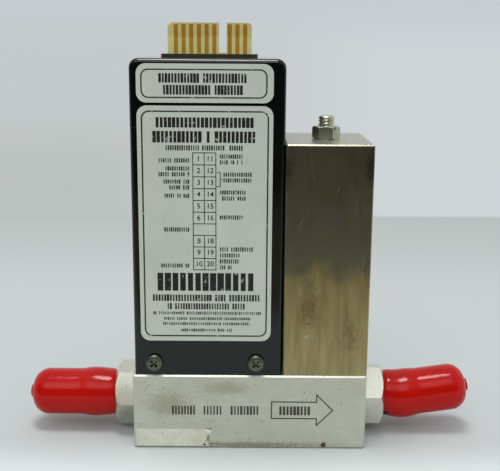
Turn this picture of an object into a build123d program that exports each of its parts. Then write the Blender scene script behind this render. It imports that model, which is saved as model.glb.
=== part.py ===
# Mass flow controller: a steel base block with a face seal fitting at each end,
# a thermal sensor and its circuit board under a sheet metal cover, and a solenoid
# valve under a steel housing. Millimetres. The origin is the centre of the base's
# underside, +X is the flow direction, -Y is the labelled front and +Z is up.

import os
from math import cos, radians, sin

from build123d import *

os.makedirs("parts", exist_ok=True)

# Clearances shared by the fits below
FIT = 0.05
SLACK = 0.2

# Base block and its flow axis. Its length follows from what stands on it.
BASE_DEPTH = 38.1
BASE_HEIGHT = 25.4
BASE_CHAMFER = 0.5
PORT_Z = 11.9
MOUNT_SPACING = 31.75
MOUNT_HOLE_RADIUS = 2.1
MOUNT_HOLE_DEPTH = 5.0

# Cover and valve housing stand back from the base's front and back
BODY_STEP = 0.5
COVER_INSET = 0.7
COVER_GAP = 0.3

# Hex fittings with a threaded face seal nose
HEX_ACROSS_FLATS = 19.05
HEX_LENGTH = 7.6
HEX_FACE_RADIUS = 9.2
HEX_CHAMFER = 1.2
INLET_HEX_TURN = 57.5
OUTLET_HEX_TURN = 46.5
SPIGOT_RADIUS = 5.55
SPIGOT_LENGTH = 6.0
NECK_RADIUS = 5.9
NECK_LENGTH = 3.6
THREAD_RADIUS = 7.145
THREAD_LENGTH = 6.4
THREAD_CHAMFER = 0.7
GLAND_RADIUS = 5.2
GLAND_LENGTH = 1.2
FITTING_BORE_RADIUS = 2.3
PORT_SEAL_WIDTH = 1.6
PORT_SEAL_THICKNESS = 1.2

# Dust caps, slipped over the thread until the mouth nearly meets the hex
CAP_MOUTH_GAP = 0.2
CAP_MOUTH_BORE_RADIUS = 6.3
CAP_LENGTH = 29.2
CAP_BORE_RADIUS = 6.7
CAP_WALL = 1.2
CAP_RUN_OUT = 3.4
CAP_END_ROUND = 5.5
OUTLET_CAP_TILT = 8.5
CAP_BEND = 6.5
NUB_RADIUS = 2.1
NUB_HEIGHT = 0.75

# Flow bore and laminar flow splitter, which lies between the two sensor ports
SPLITTER_BORE_RADIUS = 4.76
SPLITTER_BORE_RUN = 4.5
SPLITTER_END_GAP = 2.5
SPLITTER_HOLE_RADIUS = 0.6
SPLITTER_RINGS = 2
SPLITTER_RING_PITCH = 1.75

# Sensor on its block, between the two bars
SENSOR_Y = -2.0
SENSOR_BLOCK_DEPTH = 20.0
SENSOR_BLOCK_HEIGHT = 9.0
SENSOR_BLOCK_GAP = 1.45
SENSOR_PORT_INSET = 3.0
SENSOR_PORT_RADIUS = 0.7
SENSOR_PORT_SEAL_RADIUS = 2.4
SENSOR_PORT_SEAL_HEIGHT = 1.0
SENSOR_SCREW_INSET = 2.9
TUBE_RADIUS = 0.6
TUBE_BORE_RADIUS = 0.35
TUBE_RISE = 18.0
TUBE_SOCKET = 4.0
WINDING_RADIUS = 1.3
WINDING_GAP = 0.8
WINDING_END_GAP = 0.4
SENSOR_CAN_MARGIN = 2.0
SENSOR_CAN_HEADROOM = 3.7
SENSOR_CAN_WALL = 1.0
SENSOR_CAN_GAP = 0.8

# Cap screws that hold the sensor block and the bars
CAP_SCREW_RADIUS = 1.4
CAP_SCREW_HEAD_RADIUS = 2.3
CAP_SCREW_HEAD_HEIGHT = 2.6
CAP_SCREW_SOCKET = 2.0
CAP_SCREW_ENGAGEMENT = 5.0

# Sheet metal cover
COVER_LENGTH = 47.84
COVER_HEIGHT = 101.0
COVER_WALL = 1.0
COVER_ROUND = 1.5
COVER_TOP_ROUND = 2.8
COVER_SCREW_LEFT = 6.42
COVER_SCREW_RIGHT = 8.52
COVER_SCREW_RISE = 4.4
COVER_SCREW_RADIUS = 1.75
COVER_SCREW_LENGTH = 6.0
COVER_SCREW_HEAD_RADIUS = 2.75
COVER_SCREW_HEAD_HEIGHT = 1.7
CROSS_WIDTH = 0.8
CROSS_LENGTH = 3.0
CROSS_DEPTH = 1.1

# Bars across the base that the cover's screws go into
BAR_WIDTH = 8.0
BAR_HEIGHT = 8.6
BAR_SCREW_INSET = 9.45

# Circuit board, set from the cover's walls, with its card edge out of the top
BOARD_SETBACK = 8.35
BOARD_THICKNESS = 1.6
BOARD_LEFT_MARGIN = 3.4
BOARD_RIGHT_MARGIN = 4.44
BOARD_RISE = 3.5
SHOULDER_DROP = 5.4
TAB_STANDOUT = 11.15
TAB_LEFT_MARGIN = 2.7
TAB_RIGHT_MARGIN = 2.19
TAB_CORNER = 1.3
KEY_PLACE = 6
KEY_OFFSET = 0.25
KEY_WIDTH = 2.55
KEY_RISE = 1.5
CONTACT_PITCH = 2.54
CONTACT_PLACES = 10
CONTACT_WIDTH = 1.35
CONTACT_THICKNESS = 0.06
CONTACT_MARGIN = 0.5

# Black bar around the card on the cover's top
GASKET_MARGIN = 2.0
GASKET_DEPTH = 7.0
GASKET_HEIGHT = 1.05
GASKET_NECK = 1.1
GASKET_LIP = 1.0

# Angle brackets that carry the board on the bars
BRACKET_WIDTH = 7.0
BRACKET_FOOT_END = 3.0
BRACKET_HEIGHT = 12.0
BRACKET_SHEET = 1.2
BRACKET_SCREW_RISE = 8.0
SMALL_SCREW_RADIUS = 1.25
SMALL_SCREW_HEAD_RADIUS = 2.4
SMALL_SCREW_HEAD_HEIGHT = 1.6
SMALL_SCREW_BITE = 4.0

# Parts on the board, in rows from its foot and its shoulder
ROW_GAP = 1.0
IC_LENGTH = 19.3
IC_DEPTH = 6.4
IC_HEIGHT = 3.4
IC_STANDOFF = 0.6
IC_LEG_ROW = 7.62
IC_LEGS = 7
IC_LEG_WIDTH = 0.5
IC_ROW_PITCH = 10.0
RESISTOR_LENGTH = 6.3
RESISTOR_RADIUS = 1.15
RESISTOR_LEAD = 0.7
RESISTOR_PITCH = 4.0
RESISTORS = 6
RESISTOR_RISE = 15.5
CAPACITOR_RADIUS = 4.0
CAPACITOR_HEIGHT = 12.0
CAPACITOR_OFFSETS = (-10.0, -1.0)
CAPACITOR_CROWN = 0.8
TRANSISTOR_WIDTH = 10.0
TRANSISTOR_HEIGHT = 9.0
TRANSISTOR_THICKNESS = 4.4
TRANSISTOR_TAB = 6.0
TRANSISTOR_TAB_THICKNESS = 1.3
TRANSISTOR_HOLE_RADIUS = 1.8
TRANSISTOR_LEG = 3.0
TRANSISTOR_OFFSET = 9.5
TRANSISTOR_DROP = 24.5
TRIMMER_SIZE = 9.5
TRIMMER_HEIGHT = 5.0
TRIMMER_CHAMFER = 0.6
TRIMMER_PITCH = 14.0
TRIMMER_DROP = 7.0
ROTOR_RADIUS = 2.6
ROTOR_HEIGHT = 2.0
ROTOR_SLOT = 0.7

# Foil labels on the cover's front and paper sticker on the base's front
LABEL_LEFT_MARGIN = 2.3
LABEL_RIGHT_MARGIN = 3.84
LABEL_TOP_MARGIN = 1.5
LABEL_BOTTOM_MARGIN = 11.8
LABEL_GAP = 0.9
UPPER_LABEL_HEIGHT = 11.7
LABEL_THICKNESS = 0.2
LABEL_CORNER = 3.0
STICKER_INSET = 0.9
STICKER_LENGTH = 24.8
STICKER_BOTTOM = 0.75
STICKER_HEIGHT = 5.95
STICKER_THICKNESS = 0.15
TEAR = 0.9

# Valve housing, nut and threaded stud
HOUSING_WIDTH = 27.36
HOUSING_HEIGHT = 75.3
HOUSING_WALL = 1.6
HOUSING_ROOF = 2.4
HOUSING_CHAMFER = 0.4
STUD_RADIUS = 2.6
STUD_LENGTH = 7.6
STUD_CROWN = 0.8
NUT_ACROSS_FLATS = 7.94
NUT_HEIGHT = 4.1
NUT_CHAMFER = 0.5
NUT_TURN = -7.0

# Valve inside the base and the housing. The heights count from the port's axis.
OUTLET_BORE_RADIUS = 2.5
DROP_RADIUS = 1.5
SEAT_FLOOR_RISE = 3.1
SEAT_RADIUS = 4.5
SEAT_SEAL_HEIGHT = 0.8
SEAT_HEIGHT = 2.0
SEAT_LIP_HEIGHT = 0.5
SEAT_LIP_RADIUS = 1.2
ORIFICE_RADIUS = 0.6
CHAMBER_FLOOR_RISE = 4.6
CHAMBER_RADIUS = 5.25
LEDGE_RISE = 7.5
FLANGE_RADIUS = 7.95
STEM_SEAL_HEIGHT = 1.0
STEM_SEAL_WIDTH = 1.6
FEED_RADIUS = 1.1
STEM_RADIUS = 4.75
STEM_HEIGHT = 24.6
PLUNGER_RADIUS = 3.95
PLUNGER_LENGTH = 24.0
PLUNGER_TRAVEL = 0.4
PLUNGER_STOP_GAP = 0.05
PAD_RADIUS = 2.2
PAD_HEIGHT = 1.5
PAD_PROUD = 0.3
SEAT_GAP = 0.02
SPRING_RADIUS = 1.9
SPRING_WIRE_RADIUS = 0.25
SPRING_POCKET_RADIUS = 2.4
SPRING_POCKET_DEPTH = 9.0
SPRING_TURNS = 4
PLATE_THICKNESS = 2.0
BOBBIN_CLEARANCE = 0.38
BOBBIN_WALL = 0.9
BOBBIN_FLANGE = 1.5
WINDING_MARGIN = 0.5
COIL_PAD_HEIGHT = 2.3
COIL_PAD_MARGIN = 1.7
TERMINAL_WIDTH = 8.0
TERMINAL_BACK_GAP = 1.35
TERMINAL_HEIGHT = 5.0
LEAD_RADIUS = 0.55
LEAD_SPACING = 1.6
LEAD_INSET = 1.3
LEAD_DROP = 3.1
GROMMET_WALL = 0.6
GROMMET_LIP = 0.6
GROMMET_FLANGE = 0.8
HEADER_WIDTH = 6.0
HEADER_HEIGHT = 6.0

# Places along the base, from its left end
base_length = COVER_INSET + COVER_LENGTH + COVER_GAP + HOUSING_WIDTH
half_length = base_length / 2
body_depth = BASE_DEPTH - 2 * BODY_STEP
cover_left = COVER_INSET - half_length
cover_right = cover_left + COVER_LENGTH
housing_left = half_length - HOUSING_WIDTH
valve_x = half_length - HOUSING_WIDTH / 2

# Places on and in the cover
cover_x = (cover_left + cover_right) / 2
cover_top = BASE_HEIGHT + COVER_HEIGHT
cover_front = -body_depth / 2
cover_screw_z = BASE_HEIGHT + COVER_SCREW_RISE
bar_xs = [cover_left + COVER_SCREW_LEFT, cover_right - COVER_SCREW_RIGHT]
bar_length = body_depth - 2 * COVER_WALL - 2 * FIT
bar_top = BASE_HEIGHT + BAR_HEIGHT
bar_screw_spacing = bar_length - 2 * BAR_SCREW_INSET

# The sensor, between the bars
sensor_x = (bar_xs[0] + bar_xs[1]) / 2
sensor_block_top = BASE_HEIGHT + SENSOR_BLOCK_HEIGHT
sensor_block_length = bar_xs[1] - bar_xs[0] - BAR_WIDTH - 2 * SENSOR_BLOCK_GAP
sensor_screw_spacing_x = sensor_block_length - 2 * SENSOR_SCREW_INSET
sensor_screw_spacing_y = SENSOR_BLOCK_DEPTH - 2 * SENSOR_SCREW_INSET
sensor_port_spacing = sensor_block_length - 2 * SENSOR_PORT_INSET
sensor_port_xs = [sensor_x - sensor_port_spacing / 2, sensor_x + sensor_port_spacing / 2]
tube_bend = sensor_port_spacing / 4
winding_length = (sensor_port_spacing - WINDING_GAP) / 2 - tube_bend - WINDING_END_GAP
sensor_can_length = sensor_port_spacing + 2 * SENSOR_CAN_MARGIN
sensor_can_depth = sensor_screw_spacing_y - 2 * (CAP_SCREW_HEAD_RADIUS + SENSOR_CAN_GAP)
sensor_can_height = TUBE_RISE + WINDING_RADIUS + SENSOR_CAN_HEADROOM + SENSOR_CAN_WALL
splitter_length = sensor_port_spacing - 2 * SPLITTER_END_GAP
splitter_bore_end = sensor_port_xs[1] + SPLITTER_BORE_RUN

# The circuit board and its card edge
board_front = body_depth / 2 - COVER_WALL - BOARD_SETBACK
board_back = board_front + BOARD_THICKNESS
board_left = cover_left + BOARD_LEFT_MARGIN
board_right = cover_right - BOARD_RIGHT_MARGIN
board_x = (board_left + board_right) / 2
board_bottom = bar_top + BOARD_RISE
board_shoulder = cover_top - SHOULDER_DROP
tab_top = cover_top + TAB_STANDOUT
tab_width = TAB_LEFT_MARGIN + (CONTACT_PLACES - 1) * CONTACT_PITCH + TAB_RIGHT_MARGIN
first_contact_x = board_x - tab_width / 2 + TAB_LEFT_MARGIN
key_x = first_contact_x + KEY_PLACE * CONTACT_PITCH + KEY_OFFSET
key_bottom = cover_top + KEY_RISE
gasket_y = board_front + BOARD_THICKNESS / 2
gasket_length = tab_width + 2 * GASKET_MARGIN

# Rows on the board. As many packages as fit stand between the other two rows.
resistor_z = board_bottom + RESISTOR_RISE
resistor_row_top = resistor_z + RESISTOR_LENGTH / 2 + RESISTOR_LEAD
transistor_z = board_shoulder - TRANSISTOR_DROP
transistor_foot = transistor_z - TRANSISTOR_HEIGHT / 2 - TRANSISTOR_LEG
trimmer_z = board_shoulder - TRIMMER_DROP
ic_rows = int((transistor_foot - resistor_row_top - ROW_GAP) // IC_ROW_PITCH)
ic_first_z = resistor_row_top + ROW_GAP + IC_ROW_PITCH / 2

# Labels and sticker
label_left = cover_left + LABEL_LEFT_MARGIN
label_right = cover_right - LABEL_RIGHT_MARGIN
upper_label_top = cover_top - LABEL_TOP_MARGIN
upper_label_bottom = upper_label_top - UPPER_LABEL_HEIGHT
lower_label_top = upper_label_bottom - LABEL_GAP
lower_label_bottom = BASE_HEIGHT + LABEL_BOTTOM_MARGIN
sticker_left = STICKER_INSET - half_length
sticker_right = sticker_left + STICKER_LENGTH
sticker_top = STICKER_BOTTOM + STICKER_HEIGHT

# Heights and radii of the valve
housing_top = BASE_HEIGHT + HOUSING_HEIGHT
stud_top = housing_top + STUD_LENGTH
roof_bottom = housing_top - HOUSING_ROOF
seat_floor = PORT_Z + SEAT_FLOOR_RISE
chamber_floor = PORT_Z + CHAMBER_FLOOR_RISE
ledge_z = PORT_Z + LEDGE_RISE
seat_bottom = seat_floor + SEAT_SEAL_HEIGHT
lip_top = seat_bottom + SEAT_HEIGHT + SEAT_LIP_HEIGHT
pad_bottom = lip_top + SEAT_GAP
plunger_bottom = pad_bottom + PAD_PROUD
plunger_top = plunger_bottom + PLUNGER_LENGTH
pole_bottom = plunger_top + PLUNGER_TRAVEL + PLUNGER_STOP_GAP
spring_floor = plunger_top - SPRING_POCKET_DEPTH
flange_bottom = ledge_z + STEM_SEAL_HEIGHT
stem_top = BASE_HEIGHT + STEM_HEIGHT
stem_bore_radius = PLUNGER_RADIUS + FIT
plate_top = BASE_HEIGHT + PLATE_THICKNESS
bobbin_top = roof_bottom - COIL_PAD_HEIGHT
bobbin_radius = HOUSING_WIDTH / 2 - HOUSING_WALL - BOBBIN_CLEARANCE
terminal_back = body_depth / 2 - HOUSING_WALL - TERMINAL_BACK_GAP
lead_y = terminal_back - LEAD_INSET
lead_z = bobbin_top - LEAD_DROP
grommet_radius = LEAD_SPACING / 2 + LEAD_RADIUS + GROMMET_WALL
grommet_flange_radius = grommet_radius + GROMMET_LIP


# Base block: ports at both ends, splitter bore, sensor ports, valve cavity and
# tapped holes in the top and the underside
with BuildPart() as base_block:
    Box(base_length, BASE_DEPTH, BASE_HEIGHT, align=(Align.CENTER, Align.CENTER, Align.MIN))
    chamfer(base_block.edges(), BASE_CHAMFER)
    end_ports = [
        Location(Plane((-half_length, 0, PORT_Z), z_dir=(-1, 0, 0))),
        Location(Plane((half_length, 0, PORT_Z), z_dir=(1, 0, 0))),
    ]
    with Locations(end_ports):
        CounterBoreHole(
            radius=SPIGOT_RADIUS + FIT,
            counter_bore_radius=SPIGOT_RADIUS + PORT_SEAL_WIDTH + 2 * FIT,
            counter_bore_depth=PORT_SEAL_THICKNESS,
            depth=SPIGOT_LENGTH + SLACK,
        )
    with Locations(Plane((-half_length, 0, PORT_Z), z_dir=(-1, 0, 0))):
        Hole(SPLITTER_BORE_RADIUS, depth=splitter_bore_end + half_length)
    with Locations(Plane((half_length, 0, PORT_Z), z_dir=(1, 0, 0))):
        Hole(OUTLET_BORE_RADIUS, depth=half_length - valve_x + OUTLET_BORE_RADIUS)
    # Sensor ports down into the splitter bore
    with Locations([(x, SENSOR_Y, BASE_HEIGHT) for x in sensor_port_xs]):
        CounterBoreHole(
            radius=SENSOR_PORT_RADIUS,
            counter_bore_radius=SENSOR_PORT_SEAL_RADIUS + FIT,
            counter_bore_depth=SENSOR_PORT_SEAL_HEIGHT,
            depth=BASE_HEIGHT - PORT_Z,
        )
    # Valve cavity, narrowing downward to the seat, and the drop to the outlet bore
    with Locations((valve_x, 0, BASE_HEIGHT)):
        Hole(FLANGE_RADIUS + FIT, depth=BASE_HEIGHT - ledge_z)
        Hole(CHAMBER_RADIUS, depth=BASE_HEIGHT - chamber_floor)
        Hole(SEAT_RADIUS + FIT, depth=BASE_HEIGHT - seat_floor)
        Hole(DROP_RADIUS, depth=BASE_HEIGHT - PORT_Z)
    # Slanted feed from the splitter bore up to the valve chamber
    feed_start = Vector(splitter_bore_end - FEED_RADIUS, 0, PORT_Z + FEED_RADIUS)
    feed_end = Vector(valve_x - CHAMBER_RADIUS + FEED_RADIUS, 0, (chamber_floor + ledge_z) / 2)
    with BuildSketch(Plane(feed_start, z_dir=feed_end - feed_start)):
        Circle(FEED_RADIUS)
    extrude(amount=(feed_end - feed_start).length, mode=Mode.SUBTRACT)
    # Tapped holes for the sensor block's and the bars' screws
    with Locations((sensor_x, SENSOR_Y, BASE_HEIGHT)):
        with GridLocations(sensor_screw_spacing_x, sensor_screw_spacing_y, 2, 2):
            Hole(CAP_SCREW_RADIUS + FIT, depth=CAP_SCREW_ENGAGEMENT + SLACK)
    with Locations((sensor_x, 0, BASE_HEIGHT)):
        with GridLocations(bar_xs[1] - bar_xs[0], bar_screw_spacing, 2, 2):
            Hole(CAP_SCREW_RADIUS + FIT, depth=CAP_SCREW_ENGAGEMENT + SLACK)
    # Mounting holes in the underside
    with Locations(Plane((0, 0, 0), z_dir=(0, 0, -1))):
        with GridLocations(MOUNT_SPACING, 0, 2, 1):
            Hole(MOUNT_HOLE_RADIUS, depth=MOUNT_HOLE_DEPTH)

base_block.part.label = "base_block"
export_step(base_block.part, "parts/base_block.step")


# Planes at the block's two ends: local Z leaves the block along the flow axis and
# local X points to the front
inlet_plane = Plane((-half_length, 0, PORT_Z), x_dir=(0, -1, 0), z_dir=(-1, 0, 0))
outlet_plane = Plane((half_length, 0, PORT_Z), x_dir=(0, -1, 0), z_dir=(1, 0, 0))
hex_corner_radius = HEX_ACROSS_FLATS / 2 / cos(radians(30))
thread_start = HEX_LENGTH + NECK_LENGTH
thread_end = thread_start + THREAD_LENGTH
nose_end = thread_end + GLAND_LENGTH


# One fitting: hex with turned corners, spigot into the block, neck, thread and gland
def make_fitting(end_plane, turn):
    half_section = Plane(end_plane.origin, x_dir=end_plane.x_dir, z_dir=-end_plane.y_dir)
    flow_axis = Axis(end_plane.origin, end_plane.z_dir)
    with BuildPart() as fitting:
        with BuildSketch(end_plane):
            RegularPolygon(hex_corner_radius, 6, rotation=turn)
        extrude(amount=HEX_LENGTH)
        with BuildSketch(half_section):
            with BuildLine():
                Polyline(
                    (0, 0),
                    (hex_corner_radius + FIT, 0),
                    (hex_corner_radius + FIT, HEX_LENGTH - HEX_CHAMFER),
                    (HEX_FACE_RADIUS, HEX_LENGTH),
                    (0, HEX_LENGTH),
                    close=True,
                )
            make_face()
        revolve(axis=flow_axis, mode=Mode.INTERSECT)
        with BuildSketch(half_section):
            with BuildLine():
                Polyline(
                    (0, -SPIGOT_LENGTH),
                    (SPIGOT_RADIUS, -SPIGOT_LENGTH),
                    (SPIGOT_RADIUS, HEX_LENGTH / 2),
                    (NECK_RADIUS, HEX_LENGTH / 2),
                    (NECK_RADIUS, thread_start),
                    (THREAD_RADIUS, thread_start),
                    (THREAD_RADIUS, thread_end - THREAD_CHAMFER),
                    (THREAD_RADIUS - THREAD_CHAMFER, thread_end),
                    (GLAND_RADIUS, thread_end),
                    (GLAND_RADIUS, nose_end),
                    (0, nose_end),
                    close=True,
                )
            make_face()
        revolve(axis=flow_axis)
        with Locations(end_plane.offset(nose_end)):
            Hole(FITTING_BORE_RADIUS, depth=nose_end + SPIGOT_LENGTH)
    return fitting


inlet_fitting = make_fitting(inlet_plane, INLET_HEX_TURN)
inlet_fitting.part.label = "inlet_fitting"
export_step(inlet_fitting.part, "parts/inlet_fitting.step")

outlet_fitting = make_fitting(outlet_plane, OUTLET_HEX_TURN)
outlet_fitting.part.label = "outlet_fitting"
export_step(outlet_fitting.part, "parts/outlet_fitting.step")


# Flat metal seal ring of a fitting, in the counterbore around the spigot
def make_port_seal(end_plane):
    with BuildPart() as seal:
        with BuildSketch(end_plane):
            Circle(SPIGOT_RADIUS + FIT + PORT_SEAL_WIDTH)
            Circle(SPIGOT_RADIUS + FIT, mode=Mode.SUBTRACT)
        extrude(amount=-PORT_SEAL_THICKNESS)
    return seal


inlet_seal = make_port_seal(inlet_plane)
inlet_seal.part.label = "inlet_seal"
export_step(inlet_seal.part, "parts/inlet_seal.step")

outlet_seal = make_port_seal(outlet_plane)
outlet_seal.part.label = "outlet_seal"
export_step(outlet_seal.part, "parts/outlet_seal.step")


# Section plane across a cap at a distance from its mouth, leaning upward from the
# bend onward
def cap_section(end_plane, distance, lean):
    mouth = end_plane.origin + end_plane.z_dir * (HEX_LENGTH + CAP_MOUTH_GAP)
    bend = mouth + end_plane.z_dir * CAP_BEND
    direction = Vector(end_plane.z_dir.X * cos(radians(lean)), 0, sin(radians(lean)))
    return Plane(bend + direction * (distance - CAP_BEND), x_dir=(0, -1, 0), z_dir=direction)


# One closed tube with a rounded end, lofted through stations that each have a distance,
# a radius and a lean: the outer skin of a cap, or the hollow inside it
def closed_tube(end_plane, stations, reach, end_round, ruled):
    last_distance, last_radius, tilt = stations[-1]
    with BuildPart() as tube:
        for distance, radius, lean in stations:
            with BuildSketch(cap_section(end_plane, distance, lean)):
                Circle(radius)
        loft(ruled=ruled)
        with BuildSketch(cap_section(end_plane, last_distance, tilt)):
            Circle(last_radius)
        extrude(amount=reach - last_distance)
        closed_end = tube.faces().sort_by(Axis(end_plane.origin, end_plane.z_dir))[-1]
        fillet(closed_end.edges(), end_round)
    return tube


# One cap: its skin bulges where the thread stretches it
def make_cap(end_plane, tilt):
    thread_from = NECK_LENGTH - CAP_MOUTH_GAP
    thread_to = thread_from + THREAD_LENGTH
    free_from = thread_to + CAP_RUN_OUT
    free_radius = CAP_BORE_RADIUS + CAP_WALL
    stretched = THREAD_RADIUS + FIT
    swell = stretched + CAP_WALL - free_radius
    skin_stations = [
        (0, CAP_MOUTH_BORE_RADIUS + CAP_WALL, 0),
        (thread_from + 0.15 * THREAD_LENGTH, free_radius + 0.6 * swell, 0),
        (thread_from + 0.6 * THREAD_LENGTH, free_radius + swell, tilt / 2),
        (thread_to + 0.1 * CAP_RUN_OUT, free_radius + 0.7 * swell, tilt),
        (free_from - 0.1 * CAP_RUN_OUT, free_radius, tilt),
        (free_from, free_radius, tilt),
    ]
    hollow_stations = [
        (0, CAP_MOUTH_BORE_RADIUS, 0),
        (thread_from - SLACK, stretched, 0),
        (thread_to + SLACK, stretched, 0),
        (free_from, CAP_BORE_RADIUS, tilt),
    ]
    skin = closed_tube(end_plane, skin_stations, CAP_LENGTH, CAP_END_ROUND, ruled=False)
    hollow = closed_tube(
        end_plane, hollow_stations, CAP_LENGTH - CAP_WALL, CAP_END_ROUND - CAP_WALL, ruled=True
    )
    with BuildPart() as cap:
        add(skin.part)
        add(hollow.part, mode=Mode.SUBTRACT)
        with BuildSketch(cap_section(end_plane, CAP_LENGTH - CAP_WALL / 2, tilt)):
            Circle(NUB_RADIUS)
        extrude(amount=CAP_WALL / 2 + NUB_HEIGHT)
    return cap


inlet_cap = make_cap(inlet_plane, 0)
inlet_cap.part.label = "inlet_cap"
export_step(inlet_cap.part, "parts/inlet_cap.step")

outlet_cap = make_cap(outlet_plane, OUTLET_CAP_TILT)
outlet_cap.part.label = "outlet_cap"
export_step(outlet_cap.part, "parts/outlet_cap.step")


# Laminar element: a plug with rings of fine holes along the flow
with BuildPart() as flow_splitter:
    splitter_plane = Plane((sensor_x - splitter_length / 2, 0, PORT_Z), z_dir=(1, 0, 0))
    with BuildSketch(splitter_plane):
        Circle(SPLITTER_BORE_RADIUS - FIT)
        Circle(SPLITTER_HOLE_RADIUS, mode=Mode.SUBTRACT)
        for ring in range(1, SPLITTER_RINGS + 1):
            with PolarLocations(ring * SPLITTER_RING_PITCH, 6 * ring):
                Circle(SPLITTER_HOLE_RADIUS, mode=Mode.SUBTRACT)
    extrude(amount=splitter_length)

flow_splitter.part.label = "flow_splitter"
export_step(flow_splitter.part, "parts/flow_splitter.step")


# Sensor block over the two sensor ports
with BuildPart() as sensor_block:
    with Locations((sensor_x, SENSOR_Y, BASE_HEIGHT)):
        Box(
            sensor_block_length,
            SENSOR_BLOCK_DEPTH,
            SENSOR_BLOCK_HEIGHT,
            align=(Align.CENTER, Align.CENTER, Align.MIN),
        )
    chamfer(sensor_block.edges().filter_by(Axis.Z), BASE_CHAMFER)
    with Locations([(x, SENSOR_Y, sensor_block_top) for x in sensor_port_xs]):
        CounterBoreHole(
            radius=SENSOR_PORT_RADIUS,
            counter_bore_radius=TUBE_RADIUS + FIT,
            counter_bore_depth=TUBE_SOCKET,
            depth=SENSOR_BLOCK_HEIGHT,
        )
    with Locations((sensor_x, SENSOR_Y, sensor_block_top)):
        with GridLocations(sensor_screw_spacing_x, sensor_screw_spacing_y, 2, 2):
            Hole(CAP_SCREW_RADIUS + SLACK, depth=SENSOR_BLOCK_HEIGHT)

sensor_block.part.label = "sensor_block"
export_step(sensor_block.part, "parts/sensor_block.step")


# Flat seal rings between the sensor block and the base
with BuildPart() as sensor_port_seals:
    with BuildSketch(Plane.XY.offset(BASE_HEIGHT - SENSOR_PORT_SEAL_HEIGHT)):
        with Locations([(x, SENSOR_Y) for x in sensor_port_xs]):
            Circle(SENSOR_PORT_SEAL_RADIUS)
            Circle(SENSOR_PORT_RADIUS, mode=Mode.SUBTRACT)
    extrude(amount=SENSOR_PORT_SEAL_HEIGHT)

sensor_port_seals.part.label = "sensor_port_seals"
export_step(sensor_port_seals.part, "parts/sensor_port_seals.step")


# Capillary: one leg up from each port, joined by a straight run across the top
tube_foot = sensor_block_top - TUBE_SOCKET
tube_top = sensor_block_top + TUBE_RISE
with BuildPart() as sensor_tube:
    with BuildLine(Plane((0, SENSOR_Y, 0), x_dir=(1, 0, 0), z_dir=(0, -1, 0))):
        FilletPolyline(
            (sensor_port_xs[0], tube_foot),
            (sensor_port_xs[0], tube_top),
            (sensor_port_xs[1], tube_top),
            (sensor_port_xs[1], tube_foot),
            radius=tube_bend,
        )
    with BuildSketch(Plane.XY.offset(tube_foot)):
        with Locations((sensor_port_xs[0], SENSOR_Y)):
            Circle(TUBE_RADIUS)
            Circle(TUBE_BORE_RADIUS, mode=Mode.SUBTRACT)
    sweep()

sensor_tube.part.label = "sensor_tube"
export_step(sensor_tube.part, "parts/sensor_tube.step")


# Two heater windings side by side on the capillary's straight run
with BuildPart() as sensor_windings:
    for side in (-1, 1):
        start = sensor_x + side * WINDING_GAP / 2
        with BuildSketch(Plane((start, SENSOR_Y, tube_top), z_dir=(side, 0, 0))):
            Circle(WINDING_RADIUS)
            Circle(TUBE_RADIUS + FIT, mode=Mode.SUBTRACT)
        extrude(amount=winding_length)

sensor_windings.part.label = "sensor_windings"
export_step(sensor_windings.part, "parts/sensor_windings.step")


# Open-bottomed shield over the capillary
with BuildPart() as sensor_can:
    with Locations((sensor_x, SENSOR_Y, sensor_block_top)):
        Box(
            sensor_can_length,
            sensor_can_depth,
            sensor_can_height,
            align=(Align.CENTER, Align.CENTER, Align.MIN),
        )
    fillet(sensor_can.edges().filter_by(Axis.Z), SENSOR_CAN_WALL * 1.5)
    offset(amount=-SENSOR_CAN_WALL, openings=sensor_can.faces().sort_by(Axis.Z)[0])

sensor_can.part.label = "sensor_can"
export_step(sensor_can.part, "parts/sensor_can.step")


# Socket head cap screws that stand on a seat and bite into the base
def make_cap_screws(centres, seat_z):
    foot = BASE_HEIGHT - CAP_SCREW_ENGAGEMENT
    with BuildPart() as screws:
        with BuildSketch(Plane.XY.offset(foot)):
            with Locations(centres):
                Circle(CAP_SCREW_RADIUS)
        extrude(amount=seat_z - foot)
        with BuildSketch(Plane.XY.offset(seat_z)):
            with Locations(centres):
                Circle(CAP_SCREW_HEAD_RADIUS)
                RegularPolygon(CAP_SCREW_SOCKET / 2, 6, mode=Mode.SUBTRACT)
        extrude(amount=CAP_SCREW_HEAD_HEIGHT)
    return screws


sensor_screw_centres = [
    (sensor_x + sx * sensor_screw_spacing_x / 2, SENSOR_Y + sy * sensor_screw_spacing_y / 2)
    for sx in (-1, 1)
    for sy in (-1, 1)
]
sensor_screws = make_cap_screws(sensor_screw_centres, sensor_block_top)
sensor_screws.part.label = "sensor_screws"
export_step(sensor_screws.part, "parts/sensor_screws.step")

bar_screw_seat = bar_top - CAP_SCREW_HEAD_HEIGHT - SLACK
bar_screw_centres = [(x, side * bar_screw_spacing / 2) for x in bar_xs for side in (-1, 1)]
bar_screws = make_cap_screws(bar_screw_centres, bar_screw_seat)
bar_screws.part.label = "bar_screws"
export_step(bar_screws.part, "parts/bar_screws.step")


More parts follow.
